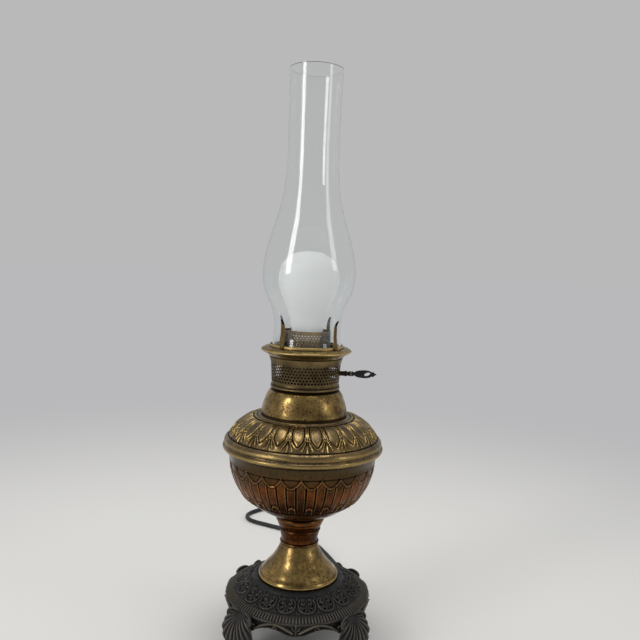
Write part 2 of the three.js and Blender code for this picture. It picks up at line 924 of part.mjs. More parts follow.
const insulator_z = bulb_z + bulb_contact_height;
const insulator_loop = [
  [0, insulator_z],
  [bulb_contact_radius, insulator_z],
  [thread_root_radius, bulb_base_z],
  [0, bulb_base_z],
];
add("bulb_insulator", turned(insulator_loop, narrow_sides), black_plastic);
add("bulb_contact", disc(bulb_contact_radius, bulb_z, insulator_z), steel);

// Keyed socket on the end of the pipe
const cap_shares = [
  [0, 0],
  [0, 0.27],
  [0.7, 0.37],
  [1, 0.53],
];
const cap_outline = cap_shares.map(([out, up]) => [
  mix(socket_cap_hub_radius, socket_radius, out),
  socket_z + socket_cap_height * up,
]);
const cap_inner_radius = socket_radius - socket_wall;
const cap_bowl_share = 0.57;
const cap_loop = [
  [pipe_hole_radius, socket_z],
  ...cap_outline,
  [socket_radius, shell_z],
  [cap_inner_radius, shell_z],
  [cap_inner_radius, socket_z + socket_cap_height * cap_bowl_share],
  [screw_shell_radius + touch_gap, socket_floor_z],
  [pipe_hole_radius, socket_floor_z],
];
add("socket_cap", turned(cap_loop, narrow_sides), dark_brass);

const shell_top_z = shell_z + socket_shell_height;
const shell_reach = [liner_radius - socket_liner_wall - cut_overrun, socket_radius + cut_overrun];
const shell_tool = side_cutter(key_hole_radius, ...shell_reach, 0, key_z);
const shell_tube = ring(cap_inner_radius, socket_radius, shell_z, shell_top_z, narrow_sides);
add("socket_shell", cut(shell_tube, [shell_tool]), aged_brass);
const liner_inner_radius = liner_radius - socket_liner_wall;
const liner_tube = ring(liner_inner_radius, liner_radius, shell_z, shell_top_z, narrow_sides);
add("socket_liner", cut(liner_tube, [shell_tool]), paper_liner);

const body_loop = [
  [socket_cavity_radius, socket_floor_z],
  [screw_shell_radius, socket_floor_z],
  [screw_shell_radius, body_top_z],
  [0, body_top_z],
  [0, socket_floor_z + socket_cavity_height],
  [socket_cavity_radius, socket_floor_z + socket_cavity_height],
];
const body_reach = [key_root - key_clearance, screw_shell_radius + cut_overrun];
const body_tool = side_cutter(key_hole_radius, ...body_reach, 0, key_z);
add("socket_body", cut(turned(body_loop, narrow_sides), [body_tool]), black_plastic);
const screw_shell = ring(
  screw_shell_radius - screw_shell_wall,
  screw_shell_radius,
  body_top_z,
  body_top_z + screw_shell_height,
  narrow_sides,
);
add("socket_screw_shell", screw_shell, polished_brass);
add("socket_contact", disc(contact_radius, body_top_z, contact_z), polished_brass);
for (const [i, side] of [-1, 1].entries()) {
  const terminal = disc(terminal_radius, body_top_z, body_top_z + terminal_height, pin_sides);
  add(`terminal_screw_${i + 1}`, terminal.translate(0, side * terminal_spread, 0), steel);
}

// Switch key: a shaft out of the socket's side with a flat thumb paddle
const shaft = new THREE.CylinderGeometry(
  key_shaft_radius,
  key_shaft_radius,
  key_reach - key_root,
  pin_sides,
);
shaft.rotateZ(Math.PI / 2).translate((key_root + key_reach) / 2, 0, key_z);
add("key_shaft", closed(shaft), dark_brass);

const paddle_shares = [
  [0, 0.66],
  [0.06, 0.56],
  [0.17, 0.86],
  [0.5, 1],
  [0.76, 0.92],
  [0.9, 0.5],
  [1, 0.22],
];
const paddle_outline = [
  ...paddle_shares.map(([out, up]) => [paddle_length * out, (paddle_height * up) / 2]),
  ...[...paddle_shares].reverse().map(([out, up]) => [paddle_length * out, (-paddle_height * up) / 2]),
];
const eye_shares = { centre: 0.62, half_length: 0.11, half_height: 0.23 };
const eye_outline = round_outline(1, pin_sides).map(([x, y]) => [
  paddle_length * (eye_shares.centre + eye_shares.half_length * x),
  paddle_height * eye_shares.half_height * y,
]);
const paddle = plate(paddle_outline, paddle_thickness, [eye_outline]);
paddle.rotateX(Math.PI / 2).translate(key_reach, 0, key_z);
add("switch_key", closed(paddle), black_plastic);

// Threaded pipe through the whole lamp, with its nuts, washer, plate, bushing and wires
const pipe_top_z = socket_floor_z - touch_gap;
const pipe = ring(pipe_bore_radius, pipe_radius, pipe_z, pipe_top_z, narrow_sides);
add("threaded_pipe", pipe, steel);

function hex_nut(low) {
  const hole = round_outline(pipe_hole_radius, narrow_sides);
  const nut = plate(round_outline(nut_across_corners / 2, 6), nut_height, [hole]);
  return closed(nut.translate(0, 0, low + nut_height / 2));
}

add("base_washer", ring(pipe_hole_radius, washer_radius, washer_z, boss_z, narrow_sides), steel);
add("base_nut", hex_nut(base_nut_z), steel);
const plate_radius = dome_foot_radius - sheet - 3 * touch_gap;
add("clamp_plate", ring(pipe_hole_radius, plate_radius, collar_z, plate_z), steel);
add("clamp_nut", hex_nut(plate_z), steel);

const bushing_tip_z = pipe_z - bushing_length;
const bushing_top_z = pipe_z + bushing_plug_length;
const bushing_loop = [
  [0, bushing_tip_z],
  [bushing_tip_radius, bushing_tip_z],
  [pipe_radius, pipe_z - 2 * washer_thickness],
  [bushing_flange_radius, pipe_z - washer_thickness],
  [bushing_flange_radius, pipe_z],
  [pipe_bore_radius - touch_gap, pipe_z],
  [pipe_bore_radius - touch_gap, bushing_top_z],
  [0, bushing_top_z],
];
add("cord_bushing", turned(bushing_loop, narrow_sides), black_rubber);
const wire_low = bushing_top_z + touch_gap;
const wire_high = socket_floor_z + socket_cavity_height - touch_gap;
add("pipe_wires", disc(wire_radius, wire_low, wire_high, pin_sides), black_rubber);

// Free cord from the bushing, out under the back of the base and along the table
const route = new THREE.CatmullRomCurve3(
  cord_route.map(([x, y, z]) => new THREE.Vector3(x, y, z)),
  false,
  "centripetal",
);
const cord_step_share = 2.4;
const cord_steps = Math.round(route.getLength() / (cord_step_share * cord_diameter));
add("lamp_cord", bar_along(route, cord_diameter / 2, cord_sides, cord_steps), black_rubber);

// Coil of the cord that is put away: each layer winds in or out, and climbs where it reverses
function coil_point(loops) {
  const per_layer = coil_loops / coil_layers;
  const layer = Math.min(Math.floor(loops / per_layer), coil_layers - 1);
  const along = loops - layer * per_layer;
  const inwards = layer % 2 === 0;
  const radius = coil_inner_radius + coil_pitch * (inwards ? per_layer - along : along);
  const turning = Math.max(1, Math.round(loops / per_layer));
  const climb = THREE.MathUtils.clamp(2 * (loops - per_layer * turning) + 1 / 2, 0, 1);
  const height = coil_z + coil_pitch * Math.min(turning - 1 + climb, coil_layers - 1);
  const angle = Math.PI - TAU * loops;
  return new THREE.Vector3(
    coil_centre[0] + radius * Math.cos(angle),
    coil_centre[1] + radius * Math.sin(angle),
    height,
  );
}

const coil_samples = Math.round(coil_loops * coil_steps_per_loop);
const coil_points = Array.from({ length: coil_samples + 1 }, (_, i) =>
  coil_point((coil_loops * i) / coil_samples),
);
const coil_start = coil_points[0].clone().add(new THREE.Vector3(0, -cord_diameter, 0));
const lead_in_mid = coil_points[0].clone().lerp(coil_start, 1 / 2);
const coil_end = coil_points[coil_samples].clone().add(new THREE.Vector3(coil_lead_out, 0, 0));
const lead_out_mid = coil_points[coil_samples].clone().lerp(coil_end, 1 / 2);
const coil_curve = new THREE.CatmullRomCurve3(
  [coil_start, lead_in_mid, ...coil_points, lead_out_mid, coil_end],
  false,
  "centripetal",
);
const lead_step_share = 1.5;
const lead_steps = Math.round((coil_lead_out + cord_diameter) / (lead_step_share * cord_diameter));
const coil_steps = coil_samples + lead_steps;
add("cord_coil", bar_along(coil_curve, cord_diameter / 2, coil_sides, coil_steps), black_rubber);

// The least gap of the coil's tube to itself, past a neighbourhood of three diameters
function least_gap(curve) {
  const count = 10 * coil_steps;
  const points = curve.getSpacedPoints(count);
  const skip = Math.ceil((3 * cord_diameter * count) / curve.getLength());
  let least = Infinity;
  for (let i = 0; i < points.length; i += 1) {
    for (let j = i + skip; j < points.length; j += 1) {
      least = Math.min(least, points[i].distanceTo(points[j]));
    }
  }
  return least - cord_diameter;
}
console.log(`least gap of the coil to itself: ${least_gap(coil_curve).toFixed(2)} mm`);
const cord_length = route.getLength() + coil_curve.getLength();
console.log(`length of the cord: ${cord_length.toFixed(0)} mm`);

const tie_inner = [
  coil_inner_radius - cord_diameter / 2 - tie_gap,
  coil_outer_radius + cord_diameter / 2 + tie_gap,
];
const tie_top = coil_top_z + cord_diameter / 2 + tie_gap;
const rectangle = (x0, x1, y0, y1) => [
  [x0, y0],
  [x1, y0],
  [x1, y1],
  [x0, y1],
];
const tie = plate(
  rectangle(tie_inner[0] - tie_thickness, tie_inner[1] + tie_thickness, 0, tie_top + tie_thickness),
  tie_width,
  [rectangle(tie_inner[0], tie_inner[1], tie_thickness, tie_top)],
);
tie.rotateX(Math.PI / 2).translate(coil_centre[0], coil_centre[1], 0);
add("cord_tie", closed(tie), black_plastic);

// Two-blade plug beside the coil, lying on the table
const plug_start = coil_end.x + touch_gap;
const plug_face = plug_start + plug_length;
const plug_shares = [
  [0, 0.4, 0.4],
  [0.3, 0.46, 0.46],
  [0.42, 0.8, 0.78],
  [0.6, 1, 1],
  [0.92, 1, 1],
  [1, 0.92, 0.92],
];
const plug_rows = plug_shares.map(([along, wide, high]) => {
  const flat = Math.cos(TAU / (2 * cord_sides));
  return round_outline(1 / flat, cord_sides, -TAU / 4 + TAU / (2 * cord_sides)).map(([y, z]) => [
    plug_start + plug_length * along,
    coil_end.y + (plug_width / 2) * wide * y,
    coil_top_z + coil_top_z * high * z,
  ]);
});
add("plug_body", skin(plug_rows), black_plastic);
for (const [i, side] of [-1, 1].entries()) {
  const blade = new THREE.BoxGeometry(blade_length, blade_thickness, blade_height);
  const blade_y = coil_end.y + (side * blade_spacing) / 2;
  blade.translate(plug_face + blade_length / 2, blade_y, coil_top_z);
  add(`plug_blade_${i + 1}`, closed(blade), polished_brass);
}

export default lamp;
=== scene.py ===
# %% [markdown]
# # Parlor lamp
# An old centre-draught oil lamp that was wired for an electric bulb. From the table up it has a
# black iron base, a brass cone and stem, a pressed brass oil font, a perforated burner with a
# switch key, and a glass chimney round the bulb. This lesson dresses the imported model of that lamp.

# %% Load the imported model
import math

import bmesh
import bpy
import numpy as np
from mathutils import Matrix, Vector


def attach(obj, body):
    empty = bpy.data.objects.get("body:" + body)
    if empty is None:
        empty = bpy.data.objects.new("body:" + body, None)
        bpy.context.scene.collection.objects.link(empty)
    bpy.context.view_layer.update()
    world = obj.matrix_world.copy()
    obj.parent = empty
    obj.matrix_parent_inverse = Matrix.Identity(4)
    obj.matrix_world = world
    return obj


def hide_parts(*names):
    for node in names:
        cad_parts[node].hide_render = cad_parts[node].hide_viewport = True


MM = 0.001
TAU = 2 * math.pi
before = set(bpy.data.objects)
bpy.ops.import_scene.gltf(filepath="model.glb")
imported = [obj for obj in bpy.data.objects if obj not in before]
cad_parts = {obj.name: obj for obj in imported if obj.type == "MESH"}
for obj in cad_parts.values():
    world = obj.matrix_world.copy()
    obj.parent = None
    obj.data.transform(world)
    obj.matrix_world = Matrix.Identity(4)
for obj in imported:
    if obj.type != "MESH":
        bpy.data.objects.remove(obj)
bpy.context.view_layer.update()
scene = bpy.context.scene
scene.view_settings.view_transform = "Standard"

# %% [markdown]
# ## The camera
# The photograph was taken from in front, a little above the burner, with a camera held slightly
# crooked. The numbers come from fitting the ellipses of the turned pieces, which is why the
# camera is rolled: straightening it would lay every ellipse differently from the photograph.

# %% Camera
PHOTO_SIDE = 640
PHOTO_FOCAL = 683
CAMERA_PLACE = (0, -0.669, 0.3713)
CAMERA_YAW = math.atan(12.5 / PHOTO_FOCAL)
CAMERA_PITCH = math.radians(4.4)
CAMERA_ROLL = 0.039


def look_through_camera():
    data = bpy.data.cameras.new("camera")
    data.sensor_fit = "HORIZONTAL"
    data.lens = data.sensor_width * PHOTO_FOCAL / PHOTO_SIDE
    camera = bpy.data.objects.new("camera", data)
    turn = Matrix.Rotation(-CAMERA_YAW, 4, "Z")
    turn = turn @ Matrix.Rotation(math.pi / 2 - CAMERA_PITCH, 4, "X")
    turn = turn @ Matrix.Rotation(CAMERA_ROLL, 4, "Z")
    camera.matrix_world = Matrix.Translation(CAMERA_PLACE) @ turn
    scene.collection.objects.link(camera)
    scene.camera = camera
    return camera


print("lens", round(look_through_camera().data.lens, 2), "mm")

# %% [markdown]
# ## The mains cord
# A table lamp has about 1.8 m of round 5.5 mm cord. It hangs out of a bushing under the base,
# lies on the table past the right of the base, and turns back behind the lamp, where the length
# that the photograph doesn't show is wound into a coil. One smooth curve through all of it keeps
# its length true, so the curve is drawn first and gets its round section from its bevel.

# %% A smooth path through chosen points
def smooth_path(points, step):
    """Points about a step apart on the centripetal curve through the given ones."""
    p = np.array(points, float)
    p = np.vstack([2 * p[0] - p[1], p, 2 * p[-1] - p[-2]])
    made = []
    for a, b, c, d in zip(p, p[1:], p[2:], p[3:]):
        spans = [max(np.linalg.norm(v - u), 1e-9) ** 0.5 for u, v in ((a, b), (b, c), (c, d))]
        k = [0, *np.cumsum(spans)]
        count = max(1, round(np.linalg.norm(c - b) / step))
        t = np.linspace(k[1], k[2], count, endpoint=False)[:, None]

        def between(u, v, low, high):
            return (u * (high - t) + v * (t - low)) / (high - low)

        ab, bc, cd = between(a, b, k[0], k[1]), between(b, c, k[1], k[2]), between(c, d, k[2], k[3])
        left, right = between(ab, bc, k[0], k[2]), between(bc, cd, k[1], k[3])
        made.append(between(left, right, k[1], k[2]))
    return np.vstack([*made, p[-2:-1]])


print(len(smooth_path([(0, 0), (10, 0), (10, 10)], 1)), "points 1 mm apart round a 10 mm corner")

# %% Route of the cord
CORD_DIAMETER = 5.5
CORD_ROUTE = [
    (0, 0, 27.1), (0, 0, 24.7), (0, 1.8, 16.2), (0.1, 6.8, 9), (0.5, 14.2, 4.4), (1.7, 23.5, 2.8),
    (5, 36, 2.8), (11, 49, 2.8), (20, 60, 2.8), (32, 68.5, 2.8), (46, 73.4, 2.8), (58, 76.6, 2.8),
    (68.6, 82.9, 2.8), (74.7, 93.4, 2.8), (74.9, 105.4, 2.8), (69, 117, 2.8), (60, 131, 2.8),
    (47, 155, 2.8), (35, 187, 2.8), (21, 218, 2.8), (1, 246, 2.8), (-22, 266, 2.8),
    (-45, 279.5, 2.8), (-65.6, 291.6, 2.8), (-74.4, 300.8, 2.8), (-77.8, 313, 2.8),
    (-74.4, 325, 2.8), (-64.5, 336.5, 3), (-54.5, 346.5, 3.5), (-48.7, 357, 4),
    (-47, 366.5, 4.15), (-47, 369.5, 4.15),
]
COIL_CENTRE = (-5.3, 378)
COIL_LOOPS, COIL_LAYERS, COIL_STEPS = 6.25, 2, 24
COIL_INNER, COIL_PITCH, COIL_LOW = 22.8, 6.05, 4.15
COIL_LEAD_OUT = 32.5
COIL_TOP = COIL_LOW + COIL_PITCH


def coil_point(loops):
    """A point of the coil, which spirals in on its lower layer and out again on its upper one."""
    half = COIL_LOOPS / COIL_LAYERS
    radius = COIL_INNER + COIL_PITCH * abs(half - loops)
    climb = min(max(2 * (loops - half) + 0.5, 0), 1)
    angle = math.pi - TAU * loops
    return (
        COIL_CENTRE[0] + radius * math.cos(angle),
        COIL_CENTRE[1] + radius * math.sin(angle),
        COIL_LOW + COIL_PITCH * climb,
    )


turns = round(COIL_LOOPS * COIL_STEPS)
coil = [coil_point(COIL_LOOPS * i / turns) for i in range(turns + 1)]
coil_end = (coil[-1][0] + COIL_LEAD_OUT, *coil[-1][1:])
lead_mid = ((coil[-1][0] + coil_end[0]) / 2, *coil[-1][1:])
cord_path = smooth_path([*CORD_ROUTE, *coil, lead_mid, coil_end], CORD_DIAMETER / 2) * MM


def mesh_of_curve(curve):
    """The mesh that a curve's bevel draws."""
    drawn = bpy.data.objects.new(curve.name + "_line", curve)
    scene.collection.objects.link(drawn)
    seen = drawn.evaluated_get(bpy.context.evaluated_depsgraph_get())
    mesh = bpy.data.meshes.new_from_object(seen)
    bpy.data.objects.remove(drawn)
    return mesh


def round_cord(name, path, diameter):
    """A round cord along the path: a curve with a round bevel, made into a mesh."""
    curve = bpy.data.curves.new(name, "CURVE")
    curve.dimensions = "3D"
    curve.bevel_depth = diameter / 2
    curve.bevel_resolution = 3
    curve.use_fill_caps = True
    spline = curve.splines.new("POLY")
    spline.points.add(len(path) - 1)
    for spot, place in zip(spline.points, path):
        spot.co = (*place, 1)
    spline.use_smooth = True
    piece = bpy.data.objects.new(name, mesh_of_curve(curve))
    scene.collection.objects.link(piece)
    return piece


mains_cord = round_cord("mains_cord", cord_path, CORD_DIAMETER * MM)
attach(mains_cord, "lamp")
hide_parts("lamp_cord", "cord_coil")

# %% [markdown]
# ## Room and light
# The lamp stands on a plain pale floor that runs into a plain grey wall. A curved sheet behind the
# lamp could give that, but it would stand in the way of every view from behind. So there is only
# a floor, and its far part takes the colour of the wall for the rays that see it, not for those
# that light the lamp. The room gets darker behind the camera, because polished metal looks flat
# when everything round it is equally bright, and two tall soft lamps are the windows in the brass.

# %% Colours, nodes and materials
def srgb(code):
    """A hex colour as linear red, green, blue and alpha."""
    parts = [int(code[i : i + 2], 16) / 255 for i in (1, 3, 5)]
    return (*[c / 12.92 if c <= 0.04045 else ((c + 0.055) / 1.055) ** 2.4 for c in parts], 1)


def add_node(tree, kind, inputs=(), **settings):
    """Adds a node. inputs maps a socket's name or number to a value or to another's output."""
    made = tree.nodes.new(kind)
    for name, value in settings.items():
        setattr(made, name, value)
    for socket, value in dict(inputs).items():
        if isinstance(value, bpy.types.NodeSocket):
            tree.links.new(value, made.inputs[socket])
        else:
            made.inputs[socket].default_value = value
    return made


def new_material(name):
    """A material with only its output node; give that a shader."""
    made = bpy.data.materials.new(name)
    made.use_nodes = True
    made.node_tree.nodes.clear()
    return made, made.node_tree


print("middle grey is", round(srgb("#808080")[0], 3), "in linear light")

# %% World and lamps
WALL_LIGHT = 0.7
DIM_ROOM = 0.26
WALL_GREY = "#b9b9bb"


def seen_directly(tree, *kinds):
    """1 for rays of these kinds, which show the backdrop itself, and 0 for those it lights."""
    rays = add_node(tree, "ShaderNodeLightPath").outputs
    seen = rays["Is Camera Ray"]
    for kind in kinds:
        either = add_node(tree, "ShaderNodeMath", {0: seen, 1: rays[kind]}, operation="MAXIMUM")
        seen = either.outputs[0]
    return seen


def light_world():
    world = bpy.data.worlds.new("room")
    scene.world = world
    world.use_nodes = True
    tree = world.node_tree
    tree.nodes.clear()
    place = add_node(tree, "ShaderNodeTexCoord")
    split = add_node(tree, "ShaderNodeSeparateXYZ", {0: place.outputs["Generated"]})
    wall_grey = srgb(WALL_GREY)[0]

    def towards_wall(brightness):
        """Dim behind the camera, and this bright from the lamp to the wall."""
        return add_node(tree, "ShaderNodeMapRange", {
            "Value": split.outputs["Y"], "From Min": -0.9, "From Max": 0.1,
            "To Min": DIM_ROOM, "To Max": brightness,
        }).outputs["Result"]

    glossy = add_node(tree, "ShaderNodeLightPath").outputs["Is Glossy Ray"]
    mirrored = add_node(tree, "ShaderNodeMix", {
        0: glossy, 2: towards_wall(WALL_LIGHT), 3: towards_wall(wall_grey),
    })
    strength = add_node(tree, "ShaderNodeMix", {
        0: seen_directly(tree, "Is Transmission Ray"), 2: mirrored.outputs[0], 3: wall_grey,
    })
    shade = add_node(tree, "ShaderNodeBackground", {
        "Color": (1, 1, 1, 1), "Strength": strength.outputs[0],
    })
    add_node(tree, "ShaderNodeOutputWorld", {"Surface": shade.outputs[0]})


def soft_lamp(name, place, aim, size, watts):
    data = bpy.data.lights.new(name, "AREA")
    data.shape, data.size, data.size_y, data.energy = "RECTANGLE", *size, watts
    lamp = bpy.data.objects.new(name, data)
    lamp.location = place
    lamp.rotation_euler = (Vector(aim) - Vector(place)).to_track_quat("-Z", "Y").to_euler()
    scene.collection.objects.link(lamp)


light_world()
soft_lamp("window_left", (-1.3, -1.0, 0.9), (0, 0, 0.25), (0.4, 1.3), 10)
soft_lamp("window_right", (1.5, -0.7, 1.0), (0, 0, 0.3), (0.4, 0.9), 2.6)
soft_lamp("ceiling", (0, 0.1, 2.0), (0, 0, 0), (1.2, 1.2), 15)
print("lamps", [lamp.name for lamp in bpy.data.lights])

# %% Floor
FLOOR_REACH = 40
FLOOR_FADE = (0.25, 1.3)


def pale_floor():
    mesh = bpy.data.meshes.new("floor")
    spots = [(x * FLOOR_REACH, y * FLOOR_REACH, 0) for x, y in ((-1, -1), (1, -1), (1, 1), (-1, 1))]
    mesh.from_pydata(spots, [], [(0, 1, 2, 3)])
    floor = bpy.data.objects.new("floor", mesh)
    scene.collection.objects.link(floor)
    finish, tree = new_material("matt_pale_board")
    place = add_node(tree, "ShaderNodeTexCoord")
    grain = add_node(tree, "ShaderNodeTexNoise", {"Vector": place.outputs["Object"], "Scale": 900})
    tint = add_node(tree, "ShaderNodeMixRGB", {
        "Fac": grain.outputs["Fac"], "Color1": srgb("#d2d1ce"), "Color2": srgb("#d8d7d4"),
    })
    shade = add_node(tree, "ShaderNodeBsdfPrincipled", {
        "Base Color": tint.outputs[0], "Roughness": 0.9,
    })
    # far from the lamp the floor runs into the wall behind it without an edge
    away = add_node(tree, "ShaderNodeVectorMath", {0: place.outputs["Object"]}, operation="LENGTH")
    far = add_node(tree, "ShaderNodeMapRange", {
        "Value": away.outputs["Value"], "From Min": FLOOR_FADE[0], "From Max": FLOOR_FADE[1],
    }, interpolation_type="SMOOTHSTEP")
    share = add_node(tree, "ShaderNodeMath", {
        0: far.outputs["Result"], 1: seen_directly(tree, "Is Transmission Ray", "Is Glossy Ray"),
    }, operation="MULTIPLY")
    wall = add_node(tree, "ShaderNodeEmission", {"Color": srgb(WALL_GREY), "Strength": 1})
    board = add_node(tree, "ShaderNodeMixShader", {
        0: share.outputs[0], 1: shade.outputs[0], 2: wall.outputs[0],
    })
    add_node(tree, "ShaderNodeOutputMaterial", {"Surface": board.outputs[0]})
    mesh.materials.append(finish)


pale_floor()
print("floor", 2 * FLOOR_REACH, "m wide, wall", WALL_GREY)

# %% [markdown]
# ## Finishes of the metal
# The brass is old: it was polished bright, went brown in blotches, and has fine pits. A picture of
# old brass could be wrapped round it, but noise in the piece's own space needs no unwrapping and
# has no seam. The same recipe serves each piece with other colours. Blotches are 10 to 20 mm wide
# and pits about 1 mm, drawn a little coarse so that they show. Two things say where the metal is
# painted lighter and where darker: Pointiness, which tells crests from grooves, and an attribute
# that the ornament writes on its own mesh, -1 in a groove and 1 on a crest. The lighter crests are
# partly metal rubbed bright and partly painted highlight, and the darker grooves partly dirt that
# polish never reaches and partly painted shade.

# %% Old brass
# how wide in metres the blotches of Blender's noise are at scale 1
BLOTCH_AT_SCALE_1 = 0.6


def old_metal(name, clean, tarnish, groove, rough, blotch_mm=14, pit_mm=1.1, pits=0.6, metallic=1,
              crest=None, fade=None):
    """Worn metal: clean and lighter on its crests, as rubbing and painted highlight, tarnished in
    blotches, dark in its pits, and dark in its grooves, as dirt and painted shade.
    rough is its roughness from clean to tarnished. fade is another colour, and the two points in
    millimetres between which the metal takes it."""
    made, tree = new_material(name)
    place = add_node(tree, "ShaderNodeTexCoord").outputs["Object"]
    edge = add_node(tree, "ShaderNodeNewGeometry").outputs["Pointiness"]
    pressed = add_node(tree, "ShaderNodeAttribute", attribute_name="wear_and_shading").outputs["Fac"]
    blotches, pores, smears = [
        add_node(tree, "ShaderNodeTexNoise", {
            "Vector": place, "Scale": BLOTCH_AT_SCALE_1 / (size * MM), "Detail": detail,
            "Roughness": uneven,
        }).outputs["Fac"]
        for size, detail, uneven in (
            (blotch_mm, 5, 0.65), (pit_mm, 2, 0.55), (blotch_mm / 4, 4, 0.7))
    ]
    # how much of a spot each of these is: from none at the first level to all or most at the second
    blotched, smeared, pitted, edge_rubbed_and_highlit, crest_rubbed_and_highlit, edge_dirt_and_shade, groove_dirt_and_shade = [
        add_node(tree, "ShaderNodeMapRange", {
            "Value": value, "From Min": none, "From Max": full, "To Min": 0, "To Max": most,
        }).outputs["Result"]
        for value, none, full, most in (
            (blotches, 0.38, 0.66, 1), (smears, 0.45, 0.75, 0.5), (pores, 0.56, 0.7, pits),
            (edge, 0.52, 0.6, 0.6), (pressed, 0.15, 0.95, 0.85),
            (edge, 0.485, 0.43, 1), (pressed, -0.08, -0.75, 0.97))
    ]
    # crests and sharp edges take the crest colour, partly as rubbing and partly as painted highlight;
    # grooves and creases take the groove colour, partly as dirt and partly as painted shade
    rubbed_and_highlit, dirt_and_shade = [
        add_node(tree, "ShaderNodeMath", {0: first, 1: second}, operation="MAXIMUM").outputs[0]
        for first, second in ((edge_rubbed_and_highlit, crest_rubbed_and_highlit), (edge_dirt_and_shade, groove_dirt_and_shade))
    ]
    layers = [(blotched, tarnish), (smeared, tarnish), (pitted, groove), (rubbed_and_highlit, crest or clean),
              (dirt_and_shade, groove)]
    if fade:
        hue, start, end = fade
        reach = Vector(end) - Vector(start)
        gone = add_node(tree, "ShaderNodeVectorMath", {
            0: place, 1: reach / (reach.length_squared * MM),
        }, operation="DOT_PRODUCT")
        ragged = add_node(tree, "ShaderNodeMath", {
            0: smears, 1: 0.8, 2: gone.outputs["Value"],
        }, operation="MULTIPLY_ADD")
        first = Vector(start).dot(reach) / reach.length_squared + 0.4
        faded = add_node(tree, "ShaderNodeMapRange", {
            "Value": ragged.outputs[0], "From Min": first, "From Max": first + 1,
        })
        layers.insert(2, (faded.outputs["Result"], hue))
    colour = srgb(clean)
    for share, hue in layers:
        colour = add_node(tree, "ShaderNodeMixRGB", {
            "Fac": share, "Color1": colour, "Color2": srgb(hue),
        }).outputs[0]
    mottled = add_node(tree, "ShaderNodeMath", {0: blotched, 1: smears}, operation="MULTIPLY")
    dull = add_node(tree, "ShaderNodeMapRange", {
        "Value": mottled.outputs[0], "From Max": 0.6, "To Min": rough[0], "To Max": rough[1],
    })
    dull_grooves = add_node(tree, "ShaderNodeMath", {
        0: dirt_and_shade, 1: 0.3, 2: dull.outputs["Result"],
    }, operation="MULTIPLY_ADD", use_clamp=True)
    bump = add_node(tree, "ShaderNodeBump", {
        "Strength": 0.35, "Distance": 0.05 * MM, "Height": pores,
    })
    shade = add_node(tree, "ShaderNodeBsdfPrincipled", {
        "Base Color": colour, "Metallic": metallic, "Roughness": dull_grooves.outputs[0],
        "Normal": bump.outputs[0],
    })
    add_node(tree, "ShaderNodeOutputMaterial", {"Surface": shade.outputs[0]})
    return made


# %% Finishes, each from its clean, tarnished and groove colours
# spun brass: clear round highlights, with brown freckles
spun_brass = old_metal(
    "spun_brass_pitted", "#ae9159", "#5f4b2e", "#241b12", rough=(0.18, 0.48), blotch_mm=9,
    pit_mm=1.0, pits=0.85, crest="#cdb06e")
# pressed brass: softer shine, dark lines round the ornament, as dirt and painted shade, and bright
# crests, as rubbing and painted highlight
pressed_brass = old_metal(
    "pressed_brass_rubbed", "#8b744c", "#51483a", "#120e0a", rough=(0.24, 0.52), blotch_mm=16,
    crest="#b79b5f")
# brass with a painted reflection of a wooden table: red-brown low down, turning to olive brass
# near the rim of the bowl
wood_reflection_brass = old_metal(
    "pressed_brass_brown_lacquer", "#713f1c", "#3a2616", "#0b0705", rough=(0.2, 0.44),
    blotch_mm=11, pit_mm=1.4, pits=0.5, crest="#8c6b42",
    fade=("#4a3d28", (0, 0, 166), (0, 0, 186)))
# perforated brass, dulled by heat: brown and matt, pale only on its crests
dark_brass = old_metal(
    "perforated_brass_dark", "#6b5a3e", "#3d3427", "#14110c", rough=(0.3, 0.6), blotch_mm=8,
    crest="#8f7a52")
# spun brass, paler than the rest of the burner, with bright crests: partly rubbed whenever the
# chimney comes off and partly painted highlight, so that it is the brightest edge of the burner
gallery_brass_highlit = old_metal(
    "gallery_brass_rubbed", "#a48a55", "#665536", "#1b160f", rough=(0.28, 0.55), blotch_mm=10,
    crest="#d8bc7c")
# rolled spring brass: an even brown with a dull shine
prong_brass = old_metal(
    "spring_brass_brown", "#84693c", "#54442c", "#0b0b0d", rough=(0.3, 0.55), blotch_mm=10,
    pits=0.5)
# perforated brass with a painted reflection: a pale stripe in front and blue-grey sides
screen_brass = old_metal(
    "perforated_brass_blued", "#a68b62", "#7f6a4a", "#101113", rough=(0.35, 0.6), blotch_mm=8,
    pits=0.5, fade=("#3a4047", (0, -21.5, 0), (0, -13, 0)))
# nearly black, matt brass as painted shade, so the inside of the burner stays dark
burner_shade_brass = old_metal("burner_inside_sooty", "#1c1915", "#12100d", "#060505", rough=(0.6, 0.8))
# brass blackened in a bath: dark brown, half matt
blackened_brass = old_metal(
    "sheet_brass_blackened", "#5a4a31", "#2f281d", "#0e0c0a", rough=(0.35, 0.6))
# cast iron under black paint: hardly metallic, with brown edges, partly worn and partly painted
# highlight
worn_iron = old_metal(
    "cast_iron_black_worn", "#1d1f22", "#111214", "#030303", rough=(0.42, 0.66), blotch_mm=9,
    pit_mm=1.6, pits=0.5, metallic=0.3, crest="#6b6253")
# steel plated with zinc: light grey with a soft sheen
plated_steel = old_metal(
    "zinc_plated_steel", "#a9a9a6", "#82817d", "#4b4a47", rough=(0.28, 0.5), blotch_mm=9)
print(len(bpy.data.materials), "materials so far")

# %% [markdown]
# ## Turned and spun pieces
# Cones, domes, collars and glass are all an outline turned about the lamp's axis. The outline is
# drawn in runs: points within a run are joined smoothly, and runs meet in a crease. One sector is
# meshed, with the pressed ornament as real height on it, and a Geometry Nodes tree sets its
# copies round the axis and welds them, so the ornament is drawn once however often it repeats.

# %% Outlines and sectors
def outline(*runs, step=0.8):
    """Radius and height along the runs, each run smooth within itself."""
    made = [smooth_path(run, step) for run in runs]
    return np.vstack([made[0], *[part[1:] for part in made[1:]]])


